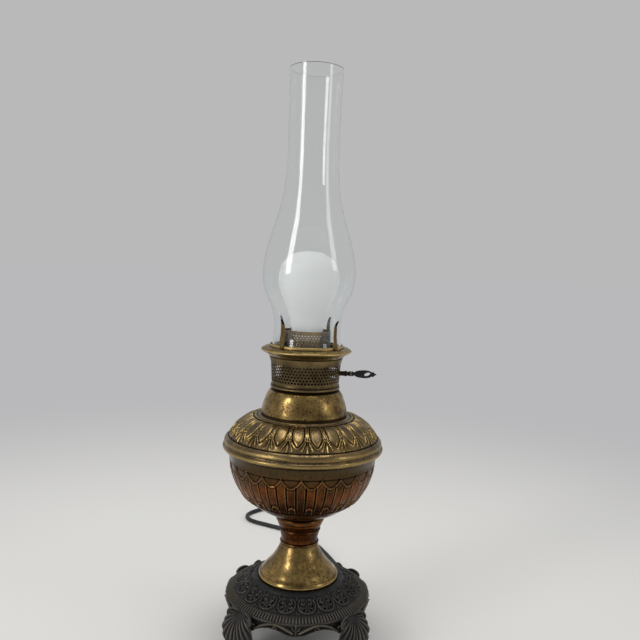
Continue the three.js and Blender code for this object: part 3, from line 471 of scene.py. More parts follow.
def normals_of(line):
    """The direction that points away from the metal, to the right of the way the outline runs."""
    ahead = np.gradient(line, axis=0)
    ahead /= np.maximum(np.linalg.norm(ahead, axis=1), 1e-9)[:, None]
    return np.stack([ahead[:, 1], -ahead[:, 0]], axis=1)


def sheet_of(line, wall, keep=5):
    """A closed loop: the outline, and a coarser one a wall's thickness behind it."""
    back = line - wall * normals_of(line)
    chosen = sorted({*range(0, len(line), keep), len(line) - 1}, reverse=True)
    return np.vstack([line, back[chosen]])


def wear_and_shading_of(relief, rounds=5, full=0.35):
    """How far each spot of a relief stands over (1) or under (-1) what is round it."""
    soft = relief.copy()
    for _ in range(rounds):
        rows = np.vstack([soft[:1], soft, soft[-1:]])
        sides = np.hstack([rows[1:-1, -2:-1], rows[1:-1], rows[1:-1, 1:2]])
        soft = (rows[:-2] + rows[2:] + sides[:, :-2] + sides[:, 2:] + soft) / 5
    return np.clip((relief - soft) / full, -1, 1)


def grid_faces(rows, columns, joined=False):
    """Faces between rows of columns + 1 corners; joined closes the last row onto the first."""
    wide = columns + 1
    return [
        (i * wide + j, i * wide + j + 1, (i + 1) % rows * wide + j + 1, (i + 1) % rows * wide + j)
        for i in range(rows if joined else rows - 1) for j in range(columns)
    ]


def sector(loop, columns, copies, relief=None, shown=None, joined=True, full=0.35, bands=()):
    """Corners, faces, and how light or dark each corner is painted, of one sector of a turned loop.
    Its shown points get the relief. Bands are rings of that: radius, height, width, and how light (1)
    or how dark (-1) they are; light stands for rubbing and painted highlight, dark for dirt and
    painted shade."""
    turn = np.linspace(-0.5, 0.5, columns + 1) * TAU / copies
    shown = shown or len(loop)
    line = loop[:shown]
    along = np.concatenate([[0], np.cumsum(np.linalg.norm(np.diff(line, axis=0), axis=1))])
    profile = np.repeat(loop[:, None, :], columns + 1, axis=1)
    wear_and_shading = np.zeros(profile.shape[:2])
    if relief:
        raised = relief(turn[None, :], along[:, None], line[:, :1], line[:, 1:])
        profile[:shown] += raised[..., None] * normals_of(line)[:, None, :]
        wear_and_shading[:shown] = wear_and_shading_of(raised, full=full)
    for ring_radius, ring_height, wide, amount in bands:
        off = np.hypot(loop[:, 0] - ring_radius, loop[:, 1] - ring_height)
        wear_and_shading += amount * np.exp(-(off / wide) ** 2)[:, None]
    radius, height = profile[..., 0], profile[..., 1]
    corners = np.stack([radius * np.cos(turn), radius * np.sin(turn), height], axis=-1)
    return corners.reshape(-1, 3), grid_faces(len(loop), columns, joined), wear_and_shading.ravel()


# %% A tree that sets copies round the axis
def new_tree(name, inputs):
    """A geometry tree with a geometry in and out, and the named inputs."""
    tree = bpy.data.node_groups.new(name, "GeometryNodeTree")
    tree.interface.new_socket("Geometry", in_out="INPUT", socket_type="NodeSocketGeometry")
    tree.interface.new_socket("Geometry", in_out="OUTPUT", socket_type="NodeSocketGeometry")
    for label, kind in inputs.items():
        tree.interface.new_socket(label, in_out="INPUT", socket_type="NodeSocket" + kind)
    return tree, add_node(tree, "NodeGroupInput").outputs


def end_tree(tree, geometry, finish, weld):
    """Realises the instances, welds what touches and gives all of it the finish."""
    real = add_node(tree, "GeometryNodeRealizeInstances", {0: geometry})
    joined = add_node(tree, "GeometryNodeMergeByDistance", {
        "Geometry": real.outputs[0], "Distance": weld,
    })
    done = add_node(tree, "GeometryNodeSetMaterial", {0: joined.outputs[0], "Material": finish})
    add_node(tree, "NodeGroupOutput", {0: done.outputs[0]})


def tree_of_copies():
    tree, given = new_tree(
        "copies_round_the_axis",
        {"Count": "Int", "First Angle": "Float", "Weld": "Float", "Finish": "Material"})
    spots = add_node(tree, "GeometryNodeMeshLine", {"Count": given["Count"], "Offset": (0, 0, 0)})
    index = add_node(tree, "GeometryNodeInputIndex")
    share = add_node(
        tree, "ShaderNodeMath", {0: index.outputs[0], 1: given["Count"]}, operation="DIVIDE")
    angle = add_node(tree, "ShaderNodeMath", {0: share.outputs[0], 1: TAU}, operation="MULTIPLY")
    place = add_node(tree, "ShaderNodeMath", {0: angle.outputs[0], 1: given["First Angle"]})
    turn = add_node(tree, "ShaderNodeCombineXYZ", {"Z": place.outputs[0]})
    copies = add_node(tree, "GeometryNodeInstanceOnPoints", {
        "Points": spots.outputs[0], "Instance": given["Geometry"], "Rotation": turn.outputs[0],
    })
    end_tree(tree, copies.outputs[0], given["Finish"], given["Weld"])
    return tree


copies_round = tree_of_copies()
print(copies_round.name, len(copies_round.nodes), "nodes")


def mesh_object(name, corners, faces, wear_and_shading=None):
    """A piece from corners in millimetres, with how light or dark each corner is painted as an
    attribute: light for rubbing and painted highlight, dark for dirt and painted shade.
    """
    mesh = bpy.data.meshes.new(name)
    mesh.from_pydata((np.asarray(corners, float) * MM).tolist(), [], faces)
    if wear_and_shading is not None:
        mesh.attributes.new("wear_and_shading", "FLOAT", "POINT").data.foreach_set("value", wear_and_shading)
    piece = bpy.data.objects.new(name, mesh)
    scene.collection.objects.link(piece)
    return piece


def settle(piece):
    """Makes the result of the piece's modifiers its own plain mesh."""
    seen = piece.evaluated_get(bpy.context.evaluated_depsgraph_get())
    mesh = bpy.data.meshes.new_from_object(seen)
    piece.modifiers.clear()
    piece.data = mesh
    return piece


def run_tree(piece, tree, **values):
    """Runs a tree on the piece; a value's name is its input's label with _ for a space."""
    modifier = piece.modifiers.new(tree.name, "NODES")
    modifier.node_group = tree
    for item in tree.interface.items_tree:
        key = item.name.replace(" ", "_")
        if item.in_out == "INPUT" and key in values:
            modifier[item.identifier] = values[key]
    return settle(piece)


def face_out(piece):
    """Turns the faces outwards if most of them face the lamp's axis or the mesh's inside."""
    mesh = bmesh.new()
    mesh.from_mesh(piece.data)
    open_edges = any(edge.is_boundary for edge in mesh.edges)
    middle = sum((v.co for v in mesh.verts), Vector()) / len(mesh.verts)
    outward = sum(
        (f.calc_center_median() - middle).dot(f.normal) * f.calc_area() for f in mesh.faces)
    if (outward if open_edges else mesh.calc_volume(signed=True)) < 0:
        bmesh.ops.reverse_faces(mesh, faces=mesh.faces)
    mesh.to_mesh(piece.data)
    mesh.free()


def dress(piece, finish, body, slot, *nodes, crease=38):
    """Finishes a piece: outward faces, smooth shading, material, body, and hides the CAD nodes; slot
    is not used.
    """
    face_out(piece)
    piece.data.materials.clear()
    piece.data.materials.append(finish)
    piece.data.polygons.foreach_set("use_smooth", [True] * len(piece.data.polygons))
    piece.data.set_sharp_from_angle(angle=math.radians(crease))
    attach(piece, body)
    if nodes:
        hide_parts(*nodes)
    print(piece.name, len(piece.data.polygons), "faces")
    return piece


def round_the_axis(piece, copies, finish, first=0.0):
    """The piece copied round the lamp's axis and welded, the first copy turned by some degrees."""
    return run_tree(piece, copies_round, Count=copies, First_Angle=math.radians(first),
                    Weld=0.004 * MM, Finish=finish)


def turned(name, loop, finish, columns=160, copies=1, relief=None, shown=None, first=0.0, bands=()):
    """A closed turned piece, with copies of one sector welded round the axis."""
    piece = mesh_object(name, *sector(loop, columns, copies, relief, shown, bands=bands))
    return round_the_axis(piece, copies, finish, first)


# %% [markdown]
# ## Cone and stem
# The cone is spun from thin brass over the raised seat of the base, with a rolled rim. The stem
# cup on it is turned: a thin bright ring, a brown band, a groove, and a flange under the font.
# A Screw modifier could turn both outlines, but the sector helper also lays rings of colour on
# them, so that their edges are lighter, as rubbing and painted highlight, and their corners darker,
# as dirt and painted shade.

# %% Cone
BRASS_WALL, STEM_WALL = 0.8, 1.2
# rings of colour here and below: radius, height, width, and how light (1) or dark (-1) they are;
# light is rubbing and painted highlight, dark is dirt and painted shade, or only painted shade
# under an edge and where two parts meet
# the rolled rim is lighter; the crease above it and the top, where the stem stands, are painted shade
CONE_BANDS = ((39.9, 64.2, 0.9, 0.8), (38.5, 67.2, 0.7, -0.5), (18.6, 95.8, 0.6, -0.8))
cone_line = outline(
    [(38.6, 62.1), (39.7, 62.9), (39.9, 64.6), (39.2, 66.2), (38.4, 67.3)],
    [(38.4, 67.3), (36.2, 69.2), (34.2, 71.6), (28.4, 78), (22.9, 86), (19.7, 92.4), (18.6, 95.6)],
    [(18.6, 95.6), (18.6, 96.4)],
    [(18.6, 96.4), (5.6, 96.4)],
)
cone = turned("pedestal_cone_brass", sheet_of(cone_line, BRASS_WALL), spun_brass,
              bands=CONE_BANDS)
dress(cone, spun_brass, "lamp", "polished_brass", "pedestal_cone")

# %% Stem cup
stem_line = outline(
    [(5.6, 96.6), (18.4, 96.6)],
    [(18.4, 96.6), (19.3, 97), (19.5, 97.7), (19.1, 98.4), (18.5, 98.7)],
    [(18.5, 98.7), (18.2, 99.6), (18.4, 102.5), (19.3, 106.2), (20.3, 110)],
    [(20.3, 110), (20.9, 110.6), (20.3, 111.4)],
    [(20.3, 111.4), (20, 112.4), (20.4, 113.4)],
    [(20.4, 113.4), (21.6, 115), (22.6, 117.6), (22.9, 119.2)],
    [(22.9, 119.2), (23.8, 119.6), (24.2, 121), (24, 122.6), (23.4, 123.6)],
    [(23.4, 123.6), (5.6, 123.6)],
)
# the grooves are darker, as dirt and painted shade, and the thin rings lighter, as rubbing and
# painted highlight
STEM_BANDS = ((18.5, 98.8, 0.5, -1), (19.5, 97.6, 0.6, 0.9), (20.2, 111.9, 0.7, -1),
              (20.8, 110.6, 0.5, 0.6), (22.9, 119.3, 0.6, -0.9), (24.1, 121.5, 0.8, 0.5))
stem = turned("stem_cup_brass", sheet_of(stem_line, STEM_WALL), wood_reflection_brass, 128,
              bands=STEM_BANDS)
dress(stem, wood_reflection_brass, "lamp", "aged_brass", "stem_cup")

# %% [markdown]
# ## Pressed ornament
# The font is sheet brass with a pattern pressed into it: tongues and petals on the shoulder,
# flutes with pointed heads on the bowl. Each pattern is drawn once, in millimetres, as rounded
# strokes on a small sector, and becomes height on the mesh.

# %% Height from drawn strokes
def distance_to(points, line, closed=False):
    """How far each point is from a polyline, and how far along the line its nearest spot is."""
    line = np.asarray(line, float)
    if closed:
        line = np.vstack([line, line[:1]])
    best = np.full(points.shape[:-1], 1e9)
    place = np.zeros(points.shape[:-1])
    for k, (start, end) in enumerate(zip(line[:-1], line[1:])):
        leg = end - start
        share = np.clip((points - start) @ leg / max(leg @ leg, 1e-9), 0, 1)
        away = np.linalg.norm(points - start - share[..., None] * leg, axis=-1)
        near = away < best
        best = np.where(near, away, best)
        place = np.where(near, (k + share) / (len(line) - 1), place)
    return best, place


def inside(points, line):
    """True for points within a closed outline."""
    line = np.asarray(line, float)
    hit = np.zeros(points.shape[:-1], bool)
    for (x1, y1), (x2, y2) in zip(line, np.roll(line, -1, axis=0)):
        crosses = (points[..., 1] < y1) != (points[..., 1] < y2)
        where = x1 + (points[..., 1] - y1) / (y2 - y1 if y2 != y1 else 1e-9) * (x2 - x1)
        hit ^= crosses & (points[..., 0] < where)
    return hit


def stroke(points, line, width, height, end_share=1.0):
    """A rounded ridge along a line; it narrows to end_share of its width at the far end."""
    away, place = distance_to(points, line)
    half = width / 2 * (1 + (end_share - 1) * place)
    return height * np.sqrt(np.clip(1 - (away / np.maximum(half, 1e-6)) ** 2, 0, 1))


# %% Shoulder of the font
SHOULDER_STEP = 0.6
seam_ridge = [(75.1, 191.8), (77.4, 192.1), (78.8, 193.2), (79.2, 195), (78.7, 196.3),
              (77.6, 197.1), (76.7, 197.6)]
big_bead = [(76.7, 197.6), (77.5, 198.4), (77.9, 199.7), (77.6, 201.3), (76.7, 202.9),
            (75.4, 204.2), (74.1, 204.8), (73.6, 205)]
slope = [(73.6, 205), (73, 206), (71.3, 208.5), (69.1, 211.4), (66.4, 214.5), (63, 217.5),
         (59.5, 220), (55.8, 222), (52, 223.4), (49.6, 223.9)]
collar_ring = [(49.6, 223.9), (48.9, 224.7), (47.9, 225), (47, 224.8), (46.3, 224.4)]
neck = [(46.3, 224.4), (45.7, 224.7), (44.8, 225.4), (43.6, 225.9), (42.5, 225.9)]
shoulder_line = outline(seam_ridge, big_bead, slope, collar_ring, neck,
                        [(42.5, 225.9), (36.4, 225.9)], step=SHOULDER_STEP)


def length_of(run):
    return np.linalg.norm(np.diff(smooth_path(run, SHOULDER_STEP), axis=0), axis=1).sum()


slope_start = length_of(seam_ridge) + length_of(big_bead)
slope_length = length_of(slope)
print("slope of the shoulder", round(slope_length, 1), "mm long")

# %% Tongues and petals of the shoulder
TONGUES = 24
HALF_TONGUE = math.radians(180 / TONGUES)
# one half of a tongue, sideways and outwards from the collar
TONGUE = [(3.7, 0.4), (4.5, 4.5), (5.2, 9.5), (5.4, 13), (5.0, 17), (3.9, 20.2), (2.1, 23),
          (0.05, 25.4)]
# the petals of a half fan: how far each leans, in degrees, its length and its width
PETALS = ((0, 13.4, 2.0), (-24, 12.6, 1.7), (-46, 9.6, 1.5))
FAN_FOOT = 17


def soft_ridge(off, width, height):
    """A ridge with soft sides, at its full height where off is 0."""
    return height * np.exp(-((off / width) ** 2))


def shoulder_relief(turn, along, radius, height):
    """Tongues that point outwards, each with a pressed border, and fans of petals between."""
    outward = slope_length - (along - slope_start)
    on_slope = np.clip(np.minimum(outward - 0.2, slope_length - 0.4 - outward) / 0.8, 0, 1)
    points = np.stack([turn * radius, outward + 0 * turn], axis=-1)
    tongue = TONGUE + [(-x, y) for x, y in reversed(TONGUE)]
    away, _ = distance_to(points, tongue, closed=True)
    within = inside(points, tongue)
    gap = np.where(within, -away, away)
    relief = np.where(within, 1.1 * np.sqrt(np.clip(away / 2.2, 0, 1)), 0)
    relief = relief - soft_ridge(gap - 0.25, 0.45, 0.9) + soft_ridge(gap - 1.35, 0.5, 0.5)
    # the fans stand between neighbouring tongues, at the two edges of the sector
    side = (np.abs(turn) - HALF_TONGUE) * radius
    fan = np.stack([side, outward + 0 * turn], axis=-1)
    petals = stroke(fan, [(0, 16.5), (0, 3)], 1.5, 0.5, 0.5)
    for lean, long, broad in PETALS:
        x, y = math.sin(math.radians(lean)), math.cos(math.radians(lean))
        tip, root = (x * long, FAN_FOOT + y * long), (x * 1.5, FAN_FOOT + y * 1.5)
        petals = np.maximum(petals, stroke(fan, [tip, root], broad, 0.95, 0.35))
    petals = np.where(gap > 1.5, petals, 0)
    return (relief + petals) * on_slope


# light on the seam ridge, the bead and the crest of the collar, as rubbing and painted highlight;
# dark in the groove between ridge and bead, at the foot of the petals and either side of the collar,
# as dirt and painted shade
SHOULDER_BANDS = (
    (79, 194.8, 1.2, 0.9), (76.7, 197.7, 0.8, -1.3), (77.7, 200.8, 1.3, 0.7),
    (73.6, 205.1, 0.8, -1.1), (49.6, 223.9, 0.8, -1), (47.9, 225, 0.6, 0.8), (46.2, 224.4, 0.6, -1),
)
shoulder = turned(
    "font_shoulder_brass", sheet_of(shoulder_line, BRASS_WALL, 6), pressed_brass, 30, TONGUES,
    shoulder_relief, len(shoulder_line), first=-4, bands=SHOULDER_BANDS)
dress(shoulder, pressed_brass, "lamp", "polished_brass", "font_shoulder")

# %% Bowl of the font
bowl_line = outline(
    [(5.6, 124.1), (23, 124.1)],
    [(23, 124.1), (24.9, 125.6), (36.1, 130.6), (45.2, 136), (50.6, 140.2)],
    [(50.6, 140.2), (51.6, 140.4), (52.5, 141.2), (52.9, 142.4)],
    [(52.9, 142.4), (59.7, 149.9), (65.1, 158.3), (68.7, 167), (70.7, 174), (71.6, 180.4)],
    [(71.6, 180.4), (72.3, 181), (72.2, 181.9)],
    [(72.2, 181.9), (72.5, 184.5), (73.8, 189), (74.8, 191.6)],
    step=0.9,
)
print(len(bowl_line), "points in the outline of the bowl")

# %% Flutes of the bowl
# one half of the small arch at a short flute's foot: share of its half width, and height
ARCH = [(1.0, 143.4), (1.0, 147.4), (0.72, 150.2), (0, 151.6)]
ARCH_LOW, ARCH_HALF = 143.4, 2.9
HEAD_TOP, HEAD_DROP = 180.6, 8.6


def bowl_relief(turn, along, radius, height):
    """Tall flutes with pointed heads, short ones between them, and small arches at their feet."""
    share = np.abs(turn) / HALF_TONGUE
    top = HEAD_TOP - HEAD_DROP * np.sin(np.clip(share, 0, 1) * math.pi / 2) ** 0.85
    height = height + 0 * turn
    below = top - height
    fluted = np.clip((height - 143.2) / 1.2, 0, 1) * np.clip(below / 1.2, 0, 1)
    side = (np.abs(turn) - HALF_TONGUE / 2) * radius
    pillow = 0.75 * np.abs(np.cos(share * math.pi)) ** 0.6
    borders = soft_ridge(side + 0.75, 0.42, 0.75) + soft_ridge(side - 0.9, 0.4, 0.5)
    relief = (pillow + borders - soft_ridge(side, 0.5, 0.8)) * fluted
    # the line that frames the heads, and its shadow groove
    slant = below / np.sqrt(1 + (1.3 * (1 - share)) ** 2)
    framed = (height > 165) & (height < 182)
    relief += framed * (soft_ridge(slant, 0.6, 0.85) - soft_ridge(slant - 1.5, 0.5, 0.5))
    # a small arch at the foot of each short flute
    across = (1 - share) * HALF_TONGUE * radius / ARCH_HALF
    points = np.stack([across, (height - ARCH_LOW) / ARCH_HALF], axis=-1)
    drawn = [(x, (z - ARCH_LOW) / ARCH_HALF) for x, z in ARCH]
    away, _ = distance_to(points, smooth_path(drawn, 0.15))
    arches = soft_ridge(away, 0.19, 0.8) - soft_ridge(away - 0.45, 0.2, 0.35)
    return relief + (height > 142.6) * arches


# dark under the step above the flutes, at the seam under the shoulder and at the foot of the flutes,
# as dirt and painted shade; the two small beads are lighter, as rubbing and painted highlight
BOWL_BANDS = ((71.6, 180.4, 0.7, -0.9), (72.3, 181.5, 0.6, 0.5), (74.8, 191.6, 1.4, -0.9),
              (52.9, 142.4, 0.9, -0.9), (51.4, 140.3, 0.7, 0.4))
bowl = turned(
    "font_bowl_brass", sheet_of(bowl_line, BRASS_WALL, 6), wood_reflection_brass, 26, TONGUES,
    bowl_relief, len(bowl_line), bands=BOWL_BANDS)
dress(bowl, wood_reflection_brass, "lamp", "aged_brass", "font_bowl")

# %% [markdown]
# ## Dome and ring
# A spun dome caps the font, with a dark ring on it that carries the burner. Both are outlines
# turned round the axis. The small vent in the dome is a boolean, because it is one hole only.

# %% Dome
dome_line = outline(
    [(42.3, 226.2), (42.4, 227.2), (42.2, 228.6)],
    [(42.2, 228.6), (41.9, 232), (40.9, 236.4), (39.3, 241.4), (37.4, 246.2), (35.4, 249.4),
     (33.6, 251)],
    [(33.6, 251), (33, 251.4), (27, 251.4)],
)
# dark at the foot of the dome and where the ring stands on it: painted shade where the parts meet
DOME_BANDS = ((42.3, 227.2, 1.3, -0.9), (33.6, 251, 0.9, -0.9))
dome = turned("burner_dome_brass", sheet_of(dome_line, BRASS_WALL), spun_brass, bands=DOME_BANDS)
# where the hole of the vent starts and ends, and its radius
VENT = ((-17, -30, 240), (-24.5, -42.5, 238.5), 0.9)


def cut_hole(piece, start, end, radius, sides=24):
    """Cuts a round hole through a closed piece along the line from start to end, in millimetres."""
    start, end = Vector(start) * MM, Vector(end) * MM
    shape = bmesh.new()
    turn = (end - start).to_track_quat("Z", "Y").to_matrix().to_4x4()
    bmesh.ops.create_cone(shape, cap_ends=True, segments=sides, radius1=radius * MM,
                          radius2=radius * MM, depth=(end - start).length,
                          matrix=Matrix.Translation((start + end) / 2) @ turn)
    mesh = bpy.data.meshes.new("cutter")
    shape.to_mesh(mesh)
    shape.free()
    cutter = bpy.data.objects.new("cutter", mesh)
    scene.collection.objects.link(cutter)
    modifier = piece.modifiers.new("hole", "BOOLEAN")
    modifier.operation, modifier.solver, modifier.object = "DIFFERENCE", "EXACT", cutter
    settle(piece)
    bpy.data.objects.remove(cutter)


cut_hole(dome, *VENT, 16)
dress(dome, spun_brass, "lamp", "polished_brass", "burner_dome")

# %% Dark ring
# light on the roll of the ring, as rubbing and painted highlight; dark in the groove above it, as
# dirt and painted shade, and under it, as painted shade
RING_BANDS = ((34, 254.4, 0.8, 0.8), (33.4, 256, 0.5, -1), (32.4, 252.4, 0.7, -1.2))
ring_line = outline(
    [(30.2, 251.6), (32.2, 251.6)],
    [(32.2, 251.6), (32.5, 252.2), (32.4, 252.6)],
    [(32.4, 252.6), (33.6, 252.9), (34.2, 253.8), (34, 254.8), (33.4, 255.5)],
    [(33.4, 255.5), (33.7, 256), (33.4, 256.8), (33.2, 257.9)],
    step=0.4,
)
ring_loop = np.vstack([ring_line, [(30.2, 257.9)]])
burner_ring = turned("burner_ring_brass", ring_loop, dark_brass, 128, bands=RING_BANDS)
dress(burner_ring, dark_brass, "lamp", "dark_brass", "burner_ring")

# %% [markdown]
# ## Perforated sheet
# The basket lets air up to the flame, and a screen inside it spreads that air. Both are thin brass
# with staggered rows of round holes. A boolean for each of some hundred holes is slow and leaves
# long thin faces, and holes that are only a pattern in the material stay flat. So one strip is
# drawn of small tiles, each with an eight-sided hole, the tree sets its copies round the axis,
# and Solidify gives the sheet its thickness. A boolean then cuts the way for the switch key.

# %% A strip one hole wide
HOLE_SIDES = 8


def perforated(name, line, columns, rows, hole, shaded_below=0):
    """A sector one hole wide: rows of staggered holes from the second point of the line to the
    last but one, and plain sheet above and below. Under a height it is painted dark, as painted
    shade."""
    line = np.asarray(line, float)
    along = np.concatenate([[0], np.cumsum(np.linalg.norm(np.diff(line, axis=0), axis=1))])
    low, high = along[1], along[-2]
    cell, wide = (high - low) / rows, TAU / columns
    corners, faces = [], []

    def spot(across, up):
        radius, height = (np.interp(up, along, line[:, k]) for k in (0, 1))
        corners.append((radius * math.cos(across), radius * math.sin(across), height))
        return len(corners) - 1

    def plain(start, end):
        for left in (-0.5, 0):
            faces.append([spot(left * wide, start), spot((left + 0.5) * wide, start),
                          spot((left + 0.5) * wide, end), spot(left * wide, end)])

    plain(0, low)
    radius = line[:, 0].mean()
    for row in range(rows):
        middle = low + (row + 0.5) * cell
        for side in ((0,) if row % 2 == 0 else (-0.5, 0.5)):
            for k in range(HOLE_SIDES):
                ends = [(k + n) * TAU / HOLE_SIDES for n in (0, 1)]
                if side and any(math.cos(a) * side > 1e-6 for a in ends):
                    continue
                square = [(round(math.cos(a)), round(math.sin(a))) for a in ends]
                outer = [spot((side + x / 2) * wide, middle + y * cell / 2) for x, y in square]
                inner = [
                    spot(side * wide + hole * math.cos(a) / radius, middle + hole * math.sin(a))
                    for a in ends
                ]
                faces.append([outer[0], outer[1], inner[1], inner[0]])
    plain(high, along[-1])
    painted_shade = [-1.0 if z < shaded_below else 0.0 for *_, z in corners]
    return mesh_object(name, corners, faces, painted_shade)


def thicken(piece, wall):
    """Gives the sheet its thickness, on the inside."""
    modifier = piece.modifiers.new("thickness", "SOLIDIFY")
    modifier.thickness, modifier.offset, modifier.use_even_offset = wall * MM, -1, False
    return settle(piece)


# %% Basket and screen
PERFORATED_WALL, HOLE_ROWS = 0.5, 6
KEY_HEIGHT, KEY_HOLE = 267.7, 3.3
BASKET_COLUMNS, BASKET_HOLE = 64, 1.16
BASKET_LINE = [(33.2, 258.1), (33.3, 259.6), (34.4, 277), (36, 282.9)]
basket = perforated("burner_basket_brass", BASKET_LINE, BASKET_COLUMNS, HOLE_ROWS, BASKET_HOLE)
basket = thicken(round_the_axis(basket, BASKET_COLUMNS, dark_brass), PERFORATED_WALL)
cut_hole(basket, (28, 0, KEY_HEIGHT), (40, 0, KEY_HEIGHT), KEY_HOLE)
dress(basket, dark_brass, "lamp", "dark_brass", "burner_basket")

# the screen is painted dark below this height: painted shade where it stands inside the basket
SCREEN_COLUMNS, SCREEN_HOLE, SHADE_TOP = 48, 0.84, 293
SCREEN_LINE = [(23.1, 252.8), (23.1, 293.5), (23.1, 306.6), (23.1, 309.7)]
screen = perforated(
    "inner_screen_brass", SCREEN_LINE, SCREEN_COLUMNS, HOLE_ROWS, SCREEN_HOLE, SHADE_TOP)
screen = thicken(round_the_axis(screen, SCREEN_COLUMNS, screen_brass), PERFORATED_WALL)
cut_hole(screen, (18, 0, KEY_HEIGHT), (28, 0, KEY_HEIGHT), KEY_HOLE)
dress(screen, screen_brass, "lamp", "dark_brass", "inner_screen")

# %% [markdown]
# ## Gallery and prongs
# The gallery is a spun shelf that the foot of the chimney stands on, with a low lip round the
# glass. Four flat springs, riveted to it, hold the glass upright. The shelf could be a thin sheet
# too, but its edge is rolled and thick, so its outline is drawn all the way round. A spring is a
# bar along a bent path, narrow and dark at its tip, and the tree sets four of them.

# %% Gallery
gallery_line = outline(
    [(35.3, 282.9), (36, 283.1)],
    [(36, 283.1), (37, 284.6), (39.4, 286.6), (42.6, 288.2), (44.1, 289.2)],
    [(44.1, 289.2), (44.6, 289.9), (44.3, 290.7)],
    [(44.3, 290.7), (43.4, 291.4), (41.9, 292.2), (41, 292.9)],
    [(41, 292.9), (36.6, 292.9)],
    [(36.6, 292.9), (36.2, 293.3), (36.1, 295.3)],
    [(36.1, 295.3), (35.7, 295.8), (35.3, 295.3)],
    [(35.3, 295.3), (35.2, 293), (31.1, 292.9)],
    [(31.1, 292.9), (31.1, 291.5)],
    [(31.1, 291.5), (38, 291.2), (41.6, 290)],
    [(41.6, 290), (39.2, 288), (36.4, 285.6), (35.3, 282.9)],
)
# light on the rolled edge and the top of the lip, as rubbing and painted highlight; dark at the foot
# of the lip, as dirt and painted shade, and under the shelf, as painted shade
GALLERY_BANDS = ((44.5, 290, 0.8, 1), (36.1, 294.8, 1.2, 1), (36.7, 292.9, 0.6, -1),
                 (36.4, 283.6, 0.9, -0.9))
gallery = turned("gallery_ring_brass", gallery_line[:-1], gallery_brass_highlit, bands=GALLERY_BANDS)
dress(gallery, gallery_brass_highlit, "lamp", "aged_brass", "gallery_ring")

# %% A flat bar along a path
BAR_SECTION = ((-1, 1), (-0.6, 1.12), (0.6, 1.12), (1, 1), (1, -1), (-1, -1))


def bar_faces(rings, around):
    """Faces of a closed bar: each ring of corners joined to the next, and a cap at each end."""
    faces = [
        (i * around + j, i * around + (j + 1) % around,
         (i + 1) * around + (j + 1) % around, (i + 1) * around + j)
        for i in range(rings - 1) for j in range(around)
    ]
    return [*faces, tuple(range(around))[::-1], tuple(range((rings - 1) * around, rings * around))]


def bar_along(path, widths, wall):
    """A closed flat bar that follows a path in the plane of the first and third axis."""
    path = np.asarray(path, float)
    corners = []
    for (x, z), (dx, dz), wide in zip(path, normals_of(path), widths):
        for across, out in BAR_SECTION:
            corners.append((x + dx * out * wall / 2, across * wide / 2, z + dz * out * wall / 2))
    return corners, bar_faces(len(path), len(BAR_SECTION))


# %% Chimney prongs and their rivets
PRONGS, FIRST_PRONG = 4, 50
PRONG_WIDTH, PRONG_WALL = 4.3, 0.6
TIP_LOW, TIP_LONG, DARK_TIP_LOW = 311, 10.5, 315.5
RIVET_REACH = 39.3
prong_path = smooth_path(
    [(40.9, 293.4), (38.6, 293.4), (37.2, 293.9), (36.3, 296.4), (35.1, 304), (35.05, 312),
     (35.2, 315), (36.2, 318.2), (37.6, 320.3), (38.2, 320.9)], 0.7)
tip_share = np.clip((prong_path[:, 1] - TIP_LOW) / TIP_LONG, 0, 1)
prong_width = PRONG_WIDTH * (1 - 0.55 * tip_share ** 1.4)
prong_tips = -np.repeat(np.clip((prong_path[:, 1] - DARK_TIP_LOW) / 2.5, 0, 1), len(BAR_SECTION))
prongs = mesh_object(
    "chimney_prongs", *bar_along(prong_path, prong_width, PRONG_WALL), prong_tips)
prongs = round_the_axis(prongs, PRONGS, prong_brass, FIRST_PRONG)
dress(prongs, prong_brass, "lamp", "aged_brass", "prong_1", "prong_2", "prong_3", "prong_4")

rivet_line = outline(
    [(0, 293.75), (1.45, 293.75), (1.3, 294.4), (0.8, 294.75), (0, 294.8)], step=0.3)
rivets = turned("prong_rivets", rivet_line, dark_brass, 12)
for vertex in rivets.data.vertices:
    vertex.co.x += RIVET_REACH * MM
rivets = round_the_axis(rivets, PRONGS, dark_brass, FIRST_PRONG)
dress(rivets, dark_brass, "lamp", "dark_brass", "prong_rivet_1", "prong_rivet_2", "prong_rivet_3",
      "prong_rivet_4")

# %% [markdown]
# ## Glass
# The chimney is blown: it widens over the burner, swells round the bulb and narrows to a long
# flue with a ground rim. The bulb is frosted. A single sheet would be quicker for both, but light
# would bend as if the whole inside were glass. So both are closed walls with an inner face.

# %% Blown and frosted glass
GLASS_IOR = 1.48
WAVE_WIDTH = 26


def glass(name, colour, rough, frost, painted_glow=0):
    """Blown glass with faint waves in it; frost is how much of it scatters light, and the last
    argument is a faint glow of painted light.
    """
    made, tree = new_material(name)
    place = add_node(tree, "ShaderNodeTexCoord").outputs["Object"]
    swell = add_node(tree, "ShaderNodeTexNoise", {
        "Vector": place, "Scale": BLOTCH_AT_SCALE_1 / (WAVE_WIDTH * MM), "Detail": 2,
        "Roughness": 0.55,
    })
    waves = add_node(tree, "ShaderNodeBump", {
        "Strength": 0.2, "Distance": 0.4 * MM, "Height": swell.outputs["Fac"],
    })
    shade = add_node(tree, "ShaderNodeBsdfPrincipled", {
        "Base Color": srgb(colour), "Roughness": rough, "IOR": GLASS_IOR,
        "Transmission Weight": 1 - frost, "Normal": waves.outputs[0],
        "Emission Color": (1, 1, 1, 1), "Emission Strength": painted_glow,
    })
    add_node(tree, "ShaderNodeOutputMaterial", {"Surface": shade.outputs[0]})
    return made


# clear glass: sharp reflections that bend a little over the waves
clear_glass = glass("blown_glass", "#fbfdfc", 0.02, 0)
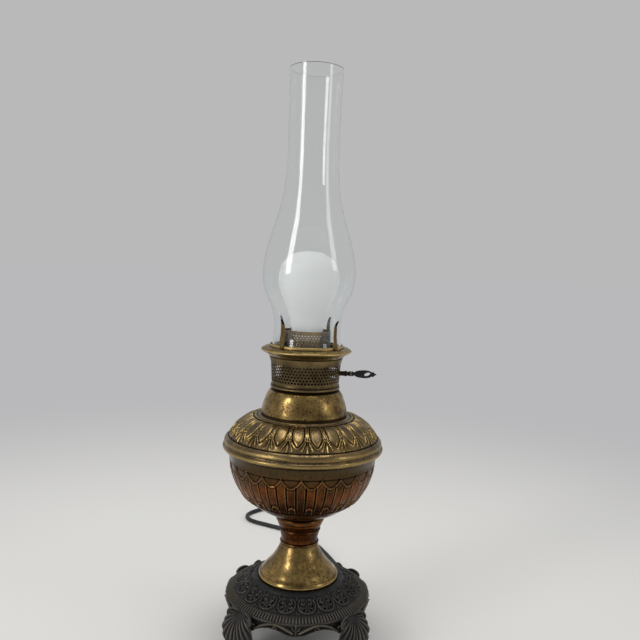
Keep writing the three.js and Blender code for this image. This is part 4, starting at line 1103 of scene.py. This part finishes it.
# the frosted bulb gets a faint glow: painted light that stands for the light its frosting scatters
frosted_glass = glass("bulb_glass_frosted", "#f6f7f7", 0.35, 0.85, 0.13)
print(clear_glass.name, frosted_glass.name)

# %% Chimney
CHIMNEY_WALL = 1.6
chimney_line = outline(
    [(34.2, 293.4), (34.3, 294.2), (33, 301), (32.9, 312), (33, 318), (35.1, 329.8), (39.7, 339.7),
     (43.4, 349.3), (45.6, 364), (44.1, 378.6), (39.5, 397.8), (31, 426.6), (26.25, 454.6),
     (24.95, 484), (25.3, 520), (26, 558)],
    [(26, 558), (26, 559.6), (25.2, 559.9), (24.5, 559.5), (24.4, 558)],
    step=2.2,
)
back = chimney_line[:-4] - CHIMNEY_WALL * normals_of(chimney_line)[:-4]
chimney_loop = np.vstack([chimney_line, back[-3:0:-1], [(32.8, 293.4)]])
chimney = turned("chimney_glass_blown", chimney_loop, clear_glass, 128)
dress(chimney, clear_glass, "chimney", "clear_glass", "chimney_glass")

# %% Bulb
BULB_WALL, BULB_TOP = 0.8, 386.9
bulb_line = outline(
    [(11.6, 293.1), (11.6, 296.6)],
    [(11.6, 296.6), (15.4, 309), (18.8, 325.8), (24.5, 340.2), (28.5, 350.5), (29.7, 361),
     (27.2, 372.6), (20.9, 380.3), (11.9, 385.3), (0, BULB_TOP)],
    step=1.4,
)
inner = bulb_line[:-1] - BULB_WALL * normals_of(bulb_line)[:-1]
bulb_loop = np.vstack([bulb_line, [(0, BULB_TOP - BULB_WALL)], inner[::-2]])
bulb = turned("bulb_glass_frosted", bulb_loop, frosted_glass, 96)
dress(bulb, frosted_glass, "bulb", "frosted_glass", "bulb_glass")

# %% [markdown]
# ## Cast base
# The base is black cast iron, all one casting: a domed plate with eighteen pierced medallions, a
# ring of ribs inside its rim, an apron that hangs between the feet, and four shell feet. It could
# be sculpted by hand, but everything on it repeats. So the medallion, the rib, one side of the
# apron and one foot are each drawn once and set round the axis. The medallion is drawn strokes on
# the turned plate. Its holes are opened by moving the nearest corners onto each circle, which
# leaves cleaner faces than eighteen times five booleans would.

# %% Domed plate
MEDALLIONS = 18
MEDALLION_RADIUS = 54.6
# the dome slopes, so a length along it is this much longer than its reach from the axis
SLOPE = 1.14
PLATE_WALL = 3.6
ornate_line = outline(
    [(38.5, 61.9), (41.2, 62.6), (43.4, 62.5), (45, 61.2), (46, 60)],
    [(46, 60), (52, 56.6), (58.2, 53.2), (62.6, 50.8)],
    [(62.6, 50.8), (63.4, 51), (64.4, 50.6), (64.9, 49.6)],
    [(64.9, 49.6), (68.4, 47.6), (69.4, 46.9)],
    [(69.4, 46.9), (70.4, 47), (71.3, 46.2), (71.4, 45), (70.9, 44.2)],
    step=0.6,
)
plate_line = np.vstack([outline([(12, 61.9), (38.5, 61.9)], step=8), ornate_line[1:]])[::-1]
print(len(plate_line), "points in the outline of the plate")

# %% Medallion, in millimetres sideways and outwards from its middle
C_SCROLL = [(-1.9, -2.6), (-3.4, -1.7), (-4.6, -3.0), (-4.2, -5.2), (-2.6, -6.6), (-5.2, -6.7),
            (-7.6, -3.6), (-8.1, 0), (-7.0, 4.2), (-4.2, 7.0), (0, 8.1)]
# place and radius; a hole beside the middle has a twin on the other side
HOLES = ((-5.3, 0.2, 1.3), (-3.2, 4.3, 1.3), (0, 5.1, 0.9))
RAYS = (((0, -7.6), (0, 1.6)), ((0, 1.6), (-1.7, 5.6)), ((0, 0.6), (-5.0, 2.6)),
        ((0, -0.6), (-4.4, -1.4)))
# the buds and forks between two medallions, each with its width and height
FORKS = (([(0, -9.4), (0, -6.2)], 2.4, 1.2), ([(0, -8.4), (2.3, -5.4)], 1.5, 0.9),
         ([(0, 4.6), (0, 8.6)], 1.2, 0.9), ([(0, 6.2), (3.0, 8.9)], 1.1, 0.8))


def medallion_relief(turn, along, radius, height):
    """A C-scroll ring with curled ends round a small leaf, and buds and forks between the rings."""
    mirrored = -np.abs(turn)
    outwards = (radius - MEDALLION_RADIUS) * SLOPE + 0 * turn
    points = np.stack([mirrored * radius, outwards], axis=-1)
    relief = stroke(points, smooth_path(C_SCROLL, 0.8), 1.6, 1.4)
    for start, end in RAYS:
        relief = np.maximum(relief, stroke(points, [start, end], 1.1, 0.8, 0.6))
    for x, y, size in HOLES:
        away = np.hypot(points[..., 0] - x, points[..., 1] - y)
        relief = np.maximum(relief, soft_ridge(away - size - 0.5, 0.4, 0.55))
    half = math.radians(180 / MEDALLIONS)
    beside = np.stack([(mirrored + half) * radius, outwards], axis=-1)
    for line, wide, high in FORKS:
        relief = np.maximum(relief, stroke(beside, line, wide, high, 0.6))
    pit = np.hypot(beside[..., 0], beside[..., 1] + 3.6)
    relief -= soft_ridge(pit, 0.9, 0.9)
    return relief * ((radius > 45.4) & (radius < 64))


def pierce(piece, spots):
    """Opens round holes in a sheet: corners near each circle move onto it, faces inside go."""
    mesh = bmesh.new()
    mesh.from_mesh(piece.data)
    for centre, size in spots:
        centre, size = Vector(centre) * MM, size * MM
        inner = []
        for vertex in mesh.verts:
            arm = vertex.co - centre
            flat = math.hypot(arm.x, arm.y)
            if flat < size * 0.72:
                inner.append(vertex)
            elif flat < size * 1.32:
                vertex.co.x = centre.x + arm.x * size / flat
                vertex.co.y = centre.y + arm.y * size / flat
        bmesh.ops.delete(mesh, geom=inner, context="VERTS")
    mesh.to_mesh(piece.data)
    mesh.free()


# %% Pierced plate
# light on the rim and the ridge inside it, as rubbing and painted highlight; dark where the cone
# stands on the plate, as painted shadow
PLATE_BANDS = ((71.3, 46.2, 0.8, 0.5), (63.5, 51, 0.5, 0.4), (38.5, 62, 1, -1))
plate = mesh_object("base_plate_iron", *sector(
    plate_line, 36, MEDALLIONS, medallion_relief, joined=False, full=0.9, bands=PLATE_BANDS))
spots = []
for x, y, size in HOLES:
    reach = MEDALLION_RADIUS + y / SLOPE
    for side in ((x, -x) if x else (0,)):
        spots.append(((reach * math.cos(side / reach), reach * math.sin(side / reach), 0), size))
pierce(plate, spots)
plate = round_the_axis(plate, MEDALLIONS, worn_iron, -80)
face_out(plate)
plate = thicken(plate, PLATE_WALL)
dress(plate, worn_iron, "lamp", "black_iron", "base_casting", crease=50)

# %% Ribs inside the rim
RIBS, RIB_WIDTH, RIB_HEIGHT = 144, 1.1, 0.9
rib_path = smooth_path([(64.2, 49.9), (65.4, 49.9), (69.2, 47.7), (70.2, 46.9)], 1.6)
ribs = mesh_object("base_rim_ribs", *bar_along(rib_path, [RIB_WIDTH] * len(rib_path), RIB_HEIGHT))
ribs = round_the_axis(ribs, RIBS, worn_iron)
dress(ribs, worn_iron, "lamp", "black_iron", crease=60)

# %% [markdown]
# ## Apron
# Between the feet the rim hangs down as an apron, with a scalloped hem and S-scrolls on its face.
# A flat curve with a thickness could be bent round the base, but its scrolls would be flat too. So
# one side of it is a grid from the rim down to the hem, already bent, that takes the scrolls as
# height, in the way of the font's ornament, and the tree sets the four sides.

# %% Apron between the feet
APRON_RADIUS, APRON_WALL, APRON_TOP = 70.2, 2.4, 46.6
# one side reaches this far from its middle, along an arc of this radius
APRON_HALF, ARC_RADIUS = 55.3, 70.4
# one half of the hem, and the scrolls with their widths and heights: place on the arc, height
HEM = [(-56, 28.5), (-48.4, 30.4), (-42, 34), (-36, 37.4), (-28, 40.2), (-20.7, 40.4),
       (-14.2, 38.8), (-10, 37), (-7.2, 36), (-3.4, 35.6), (0, 35.2)]
hem_line = smooth_path(HEM, 0.8)
hem_line = np.vstack([hem_line, (hem_line * (-1, 1))[-2::-1]])
SCROLLS = (
    ([(-40, 36.6), (-37.4, 38.2), (-32, 41.8), (-26.2, 44.2), (-20, 45), (-16, 44.6), (-10.5, 42.6),
      (-6.2, 40.4), (-2.8, 38.6)], 2.5, 3.2),
    ([(-14, 43.8), (-19.5, 43), (-21.6, 41), (-20, 39.2), (-17.4, 39.8), (-18, 41.4)], 1.7, 2),
    ([(-40, 36.6), (-43, 36.4), (-44, 38.6), (-42, 40), (-40.6, 38.8)], 2.2, 2.2),
    ([(0, 46), (0, 36.6)], 2, 2), ([(0, 38), (-3.4, 43)], 1.8, 1.6),
    ([(0, 37), (-4.6, 38.8)], 1.7, 1.4),
)


def apron_mesh(columns=150, rows=26):
    """One side of the apron: a curved sheet with raised scrolls, from one foot to the next."""
    arc = np.linspace(-APRON_HALF, APRON_HALF, columns + 1)
    low = np.interp(arc, hem_line[:, 0], hem_line[:, 1])
    up = np.linspace(0, 1, rows + 1)[:, None]
    height = low + (APRON_TOP - low) * up
    points = np.stack([-np.abs(arc) + 0 * up, height], axis=-1)
    relief = stroke(points, hem_line[hem_line[:, 0] <= 0], 2.6, 1.5)
    for line, wide, high in SCROLLS:
        drawn = smooth_path(line, 0.6) if len(line) > 2 else line
        relief = np.maximum(relief, stroke(points, drawn, wide, high, 0.8))
    radius = APRON_RADIUS + relief
    angle = arc / ARC_RADIUS + 0 * up
    corners = np.stack([radius * np.cos(angle), radius * np.sin(angle), height], axis=-1)
    return corners.reshape(-1, 3), grid_faces(rows + 1, columns), wear_and_shading_of(relief, 6, 0.6).ravel()


apron = round_the_axis(mesh_object("base_apron_iron", *apron_mesh()), 4, worn_iron)
face_out(apron)
apron = thicken(apron, APRON_WALL)
dress(apron, worn_iron, "lamp", "black_iron", crease=50)

# %% [markdown]
# ## Shell feet
# Each foot is a scallop shell that narrows to a small sole, with a curl at each side of its
# top. Sculpting would give softer forms, but no sizes to change. So a few stations give the
# shell's reach, height, width and thickness, a smooth path runs through them, and the flutes fan
# out from a hinge at the top of the knee. The curls are round bars along a path in space.

# %% Shell feet
# stations down the foot: reach, height, half width, half thickness, how far its edges bend back
FOOT = [
    (62, 38.4, 8.5, 2, 0), (67, 42.6, 10, 2.6, -0.5), (71.5, 43.6, 12.5, 3, 0),
    (76.4, 40.4, 16.5, 3.2, 1), (79.6, 33, 21, 3.4, 3), (80.8, 25, 23, 3.4, 4.4),
    (80.6, 16.5, 20, 3.4, 4.2), (80.2, 9, 13.6, 3.3, 3.4), (80.4, 3, 10.9, 3.7, 2.8),
    (80.8, 0, 11, 3.8, 2.8),
]
FLUTES = 13
FLUTE_HEIGHT, FLUTE_FLOOR, VALLEY_DEPTH = 2.1, 1.4, 1.3
# the flutes fan out from where the foot first reaches this far
HINGE_REACH = 73


def foot_mesh(across=64, behind=12):
    """A scallop shell: flutes fan out from the top of the knee, with a valley in the middle."""
    stations = smooth_path(FOOT, 0.9)
    line, half, thick, bend = stations[:, :2], stations[:, 2], stations[:, 3], stations[:, 4]
    along = np.concatenate([[0], np.cumsum(np.linalg.norm(np.diff(line, axis=0), axis=1))])
    hinge = along[np.argmax(line[:, 0] > HINGE_REACH)]
    out = -normals_of(line)
    u = np.linspace(-1, 1, across + 1)[None, :]
    lateral, down = u * half[:, None], (along - hinge)[:, None] + 0 * u
    from_hinge = np.hypot(lateral, down)
    turn = np.arctan2(np.abs(lateral), down + 2)
    ribs = np.abs(np.sin(turn * FLUTES)) ** 0.8
    deep = np.clip(from_hinge / 11, 0.12, 1) * np.clip(along[:, None] / 9, 0, 1)
    valley = soft_ridge(lateral, 1.5, 1) * np.clip((from_hinge - 2) / 6, 0, 1)
    relief = deep * (FLUTE_HEIGHT * ribs - FLUTE_FLOOR) * (1 - np.abs(u) ** 14)
    relief -= VALLEY_DEPTH * valley
    wear_and_shading = wear_and_shading_of(relief, 6, 0.7)
    rise = thick[:, None] * np.sqrt(1 - u ** 2) * 0.8 + relief - bend[:, None] * u ** 2
    lateral = lateral * (1 + 0.05 * (ribs - 0.5) * np.abs(u) ** 4)
    v = np.linspace(1, -1, behind + 2)[None, 1:-1]
    rise_behind = -thick[:, None] * np.sqrt(1 - v ** 2) * 0.9 - bend[:, None] * v ** 2 - 0.5
    rise = np.hstack([rise, rise_behind])
    lateral = np.hstack([lateral, v * half[:, None] * 0.97])
    wear_and_shading = np.hstack([wear_and_shading, 0 * rise_behind])
    reach = line[:, :1] + out[:, :1] * rise
    height = np.maximum(line[:, 1:] + out[:, 1:] * rise, 0.05)
    corners = np.stack([reach, lateral, height], axis=-1).reshape(-1, 3)
    return corners, bar_faces(*rise.shape), wear_and_shading.ravel()


feet = round_the_axis(mesh_object("base_leaf_feet", *foot_mesh()), 4, worn_iron, 45)
dress(feet, worn_iron, "lamp", "black_iron", crease=60)

# %% Curls beside the shells
# along the curl: reach, sideways from the foot's middle, height
CURL = [(71, 2.5, 45), (72.4, 6.5, 46.6), (73.4, 10.6, 47), (74.8, 14.2, 45.4), (76, 16, 42.4),
        (76.6, 14.6, 40.2), (76.4, 12.6, 41.4), (76.6, 13.6, 42.6)]
# its radius at these shares of its length
CURL_SIZES = ((0, 0.15, 0.6, 1), (0.6, 1.4, 1.6, 1.0))


def round_bar(path, sizes, sides=12):
    """A closed round bar along a path in space, with its own radius at each point."""
    ahead = np.gradient(path, axis=0)
    ahead /= np.linalg.norm(ahead, axis=1)[:, None]
    up = np.array([1.0, 0, 0])
    corners = []
    for spot, way, size in zip(path, ahead, sizes):
        up = up - way * (up @ way)
        up /= np.linalg.norm(up)
        side = np.cross(way, up)
        for k in range(sides):
            a = TAU * k / sides
            corners.append(spot + size * (up * math.cos(a) + side * math.sin(a)))
    return corners, bar_faces(len(path), sides)


def curl(side):
    """The curl beside one half of the shell, turned to where the foot stands."""
    path = smooth_path(CURL, 0.9) * (1, side, 1)
    sizes = np.interp(np.linspace(0, 1, len(path)), *CURL_SIZES)
    turn = Matrix.Rotation(math.radians(45), 3, "Z")
    return round_bar(path @ np.array(turn.transposed()), sizes)


def together(*parts):
    """The corners and faces of several parts as one."""
    corners, faces = [], []
    for more_corners, more_faces in parts:
        faces += [tuple(k + len(corners) for k in face) for face in more_faces]
        corners += more_corners
    return corners, faces


curls = mesh_object("base_shell_ears", *together(curl(-1), curl(1)))
curls = round_the_axis(curls, 4, worn_iron)
dress(curls, worn_iron, "lamp", "black_iron", crease=60)

# %% [markdown]
# ## Switch key
# The key turns the socket's switch. Its shaft is a blackened rod with a collar, and its paddle a
# small casting with a slanted eye. A box could be cut and rounded to that shape, but a flat curve
# with a bevel gives the outline, the eye and the round edge at once. The shaft is turned upright,
# as every other turned piece, and then laid along X.

# %% Black finishes
# moulded plastic: a soft even shine, hardly any blotches
black_plastic = old_metal(
    "black_moulded_plastic", "#1b1a19", "#121110", "#070707", rough=(0.32, 0.5), blotch_mm=12,
    pit_mm=1.2, pits=0.3, metallic=0, crest="#35322e")
# the cord's rubber sleeve: duller and blacker than the plastic
black_rubber = old_metal(
    "black_cord_sleeve", "#161617", "#0f0f10", "#060606", rough=(0.38, 0.55), blotch_mm=20,
    pit_mm=1.0, pits=0.2, metallic=0, crest="#1e1e1f")
# japanned iron: glossy black lacquer, brown where fingers have worn it
key_iron = old_metal(
    "key_black_japanned", "#1d1b19", "#100f0e", "#050505", rough=(0.25, 0.5), blotch_mm=6,
    pit_mm=0.9, pits=0.4, metallic=0.3, crest="#5d554a")
print(len(bpy.data.materials), "materials so far")

# %% Shaft of the key
shaft_line = outline(
    [(0, 8.2), (2.3, 8.2)], [(2.3, 8.2), (2.3, 24)], [(2.3, 24), (2.3, 38.6)],
    [(2.3, 38.6), (2.8, 39), (2.8, 40.2), (2.3, 40.6)],
    [(2.3, 40.6), (1.9, 42), (2.6, 43.6), (2.4, 44.8)], [(2.4, 44.8), (0, 44.9)], step=1.6)
shaft = turned("key_shaft_rod", shaft_line[::-1], blackened_brass, 24)
lay_along_x = Matrix.Rotation(math.radians(90), 4, "Y")
shaft.data.transform(Matrix.Translation((0, 0, KEY_HEIGHT * MM)) @ lay_along_x)
dress(shaft, blackened_brass, "key", "dark_brass", "key_shaft")

# %% Paddle of the key
PADDLE_WALL, PADDLE_ROUND = 2.5, 0.6
EYE_REACH, EYE_LONG, EYE_WIDE, EYE_LEAN = 61, 3.1, 1.5, math.radians(20)
# one half of its outline: reach from the lamp's axis, and how far over the shaft's line
PADDLE = [(45.1, 0), (45.4, 2.4), (46.8, 2.2), (48.2, 1.6), (50.2, 2.8), (54.5, 3.7), (59.5, 3.9),
          (63.6, 3.2), (65.4, 2.2), (66.4, 2.6), (67.6, 1.9), (68.6, 1.0), (70.6, 0)]


def flat_casting(name, rims, half_thick, rounding):
    """A flat piece with round edges from closed outlines in X and Z; inner ones are holes."""
    curve = bpy.data.curves.new(name, "CURVE")
    curve.dimensions, curve.fill_mode = "2D", "BOTH"
    curve.extrude, curve.bevel_depth = (half_thick - rounding) * MM, rounding * MM
    curve.bevel_resolution, curve.offset = 3, -rounding * MM
    for rim in rims:
        spline = curve.splines.new("POLY")
        spline.points.add(len(rim) - 1)
        for point, (x, z) in zip(spline.points, rim):
            point.co = (x * MM, z * MM, 0, 1)
        spline.use_cyclic_u = True
    mesh = mesh_of_curve(curve)
    mesh.transform(Matrix.Rotation(math.radians(90), 4, "X"))
    made = bpy.data.objects.new(name, mesh)
    scene.collection.objects.link(made)
    shape = bmesh.new()
    shape.from_mesh(mesh)
    bmesh.ops.remove_doubles(shape, verts=shape.verts, dist=0.002 * MM)
    bmesh.ops.recalc_face_normals(shape, faces=shape.faces)
    shape.to_mesh(mesh)
    shape.free()
    return made


rim = smooth_path(PADDLE, 0.5)
rim = np.vstack([rim, (rim * (1, -1))[-2:0:-1]])
turn = np.linspace(0, TAU, 24, endpoint=False)
long, short = EYE_LONG * np.cos(turn), EYE_WIDE * np.sin(turn)
cosine, sine = math.cos(EYE_LEAN), math.sin(EYE_LEAN)
eye = np.stack([EYE_REACH + long * cosine - short * sine, long * sine + short * cosine], axis=1)
paddle = flat_casting("key_paddle", [rim, eye], PADDLE_WALL / 2, PADDLE_ROUND)
paddle.data.transform(Matrix.Translation((0, 0, KEY_HEIGHT * MM)))
dress(paddle, key_iron, "key", "black_plastic", "switch_key", crease=50)

# %% [markdown]
# ## Cord, plug and tie
# The cord leaves a ribbed rubber bushing in the end of the pipe. Its spare length lies in a coil
# that a flat tie holds, with a moulded two-blade plug beside it. The plug could be a box rounded
# by Subdivision Surface, but its waist and grip are easier to set as sections along its length,
# each with its own width, height and squareness. The tie is a flat bar bent round the coil.

# %% Bushing
BUSHING_LOW, RUBBER_RIBS, RIB_STEP = 27.4, 7, 2.4
bushing_line = [(0, BUSHING_LOW)]
for k in range(RUBBER_RIBS):
    low = BUSHING_LOW + RIB_STEP * k
    wide = 3.9 + 0.22 * k
    bushing_line += [(wide - 0.35, low), (wide, low + 0.5), (wide + 0.05, low + 1.4),
                     (wide - 0.4, low + 1.7)]
bushing_line += [(5.5, 44.5), (6.35, 44.7), (6.35, 45.6), (3.3, 45.7), (3.3, 51.7), (0, 51.7)]
bushing = turned("cord_strain_relief", np.array(bushing_line), black_rubber, 40)
dress(bushing, black_rubber, "lamp", "black_rubber", "cord_bushing")

# %% Plug
PLUG_START, PLUG_LENGTH, PLUG_HALF_WIDTH = coil_end[0] + 0.3, 27, 11
# share of its length, of its half width and half height there, and how square it is (2 is round)
PLUG = ((0, 0.38, 0.38, 2), (0.04, 0.42, 0.42, 2), (0.26, 0.43, 0.43, 2), (0.36, 0.6, 0.58, 2.4),
        (0.46, 0.9, 0.84, 3), (0.56, 0.98, 0.96, 3.4), (0.64, 0.9, 0.92, 3.6),
        (0.7, 0.95, 0.95, 3.6), (0.76, 0.9, 0.92, 3.6), (0.82, 0.97, 0.97, 3.6),
        (0.94, 0.99, 0.99, 3.8), (0.985, 0.97, 0.97, 3.8), (1, 0.9, 0.9, 3.6))
PLUG_SIDES = 48
corners = []
for along, wide, high, square in PLUG:
    for k in range(PLUG_SIDES):
        a = TAU * k / PLUG_SIDES
        y = PLUG_HALF_WIDTH * wide * math.copysign(abs(math.cos(a)) ** (2 / square), math.cos(a))
        z = COIL_TOP * high * math.copysign(abs(math.sin(a)) ** (2 / square), math.sin(a))
        corners.append((PLUG_START + PLUG_LENGTH * along, coil_end[1] + y, COIL_TOP + z))
plug = mesh_object("plug_moulded", corners, bar_faces(len(PLUG), PLUG_SIDES))
dress(plug, black_plastic, "lamp", "black_plastic", "plug_body", crease=30)

# %% Tie round the coil
# both are paths in X and Z beside the coil's middle
TIE_WIDTH, TIE_WALL, HEAD_WALL = 4.6, 0.8, 2.2
TIE_BAND = [(30, 13.6), (22.5, 13.6), (19.6, 12.9), (19.1, 10.5), (19.1, 4), (19.6, 1.2),
            (22.5, 0.55), (32, 0.55), (42, 0.55), (45, 1.2), (45.5, 4), (45.5, 10.5), (45, 12.9),
            (42, 13.6), (30, 13.6)]
TIE_HEAD = [(27, 13.2), (27.6, 13.2), (33.6, 13.2), (34.2, 13.2)]
band = smooth_path(TIE_BAND, 1.2)
corners, faces = together(
    bar_along(band, [TIE_WIDTH] * len(band), TIE_WALL),
    bar_along(TIE_HEAD, [5, 6, 6, 5], HEAD_WALL))
corners = [(x + COIL_CENTRE[0], y + COIL_CENTRE[1], z) for x, y, z in corners]
tie = mesh_object("cord_tie_band", corners, faces)
dress(tie, black_plastic, "lamp", "black_plastic", "cord_tie", crease=30)

mains_cord.data.materials.append(black_rubber)

# %% [markdown]
# ## Hardware that the CAD already shapes
# The pipe, nuts, plates, socket and bulb base are plain turned and flat parts, most of them out of
# sight inside the lamp. They could be modelled again, but their CAD shapes are good enough, so
# they keep them and only get real finishes.

# %% Finishes of the CAD nodes
# pressed paper fibre: flat, without shine
paper = old_metal(
    "pressed_fibre_liner", "#a08a63", "#85704c", "#4a3c27", rough=(0.6, 0.8), blotch_mm=10,
    pit_mm=1.5, pits=0.3, metallic=0)
FINISHES = {
    plated_steel: ("threaded_pipe", "base_washer", "base_nut", "clamp_plate", "clamp_nut",
                   "terminal_screw_1", "terminal_screw_2", "bulb_screw_base", "bulb_contact"),
    spun_brass: ("socket_screw_shell", "socket_contact", "plug_blade_1", "plug_blade_2"),
    # the draft tube and the deck are painted nearly black: painted shade inside the burner
    burner_shade_brass: ("draft_tube", "burner_deck"),
    dark_brass: ("socket_cap", "socket_shell"),
    black_plastic: ("socket_body", "bulb_insulator"),
    black_rubber: ("pipe_wires",),
    paper: ("socket_liner",),
}
for finish, names in FINISHES.items():
    for name in names:
        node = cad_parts[name]
        node.data.materials.clear()
        node.data.materials.append(finish)
print(sum(len(names) for names in FINISHES.values()), "CAD nodes finished")
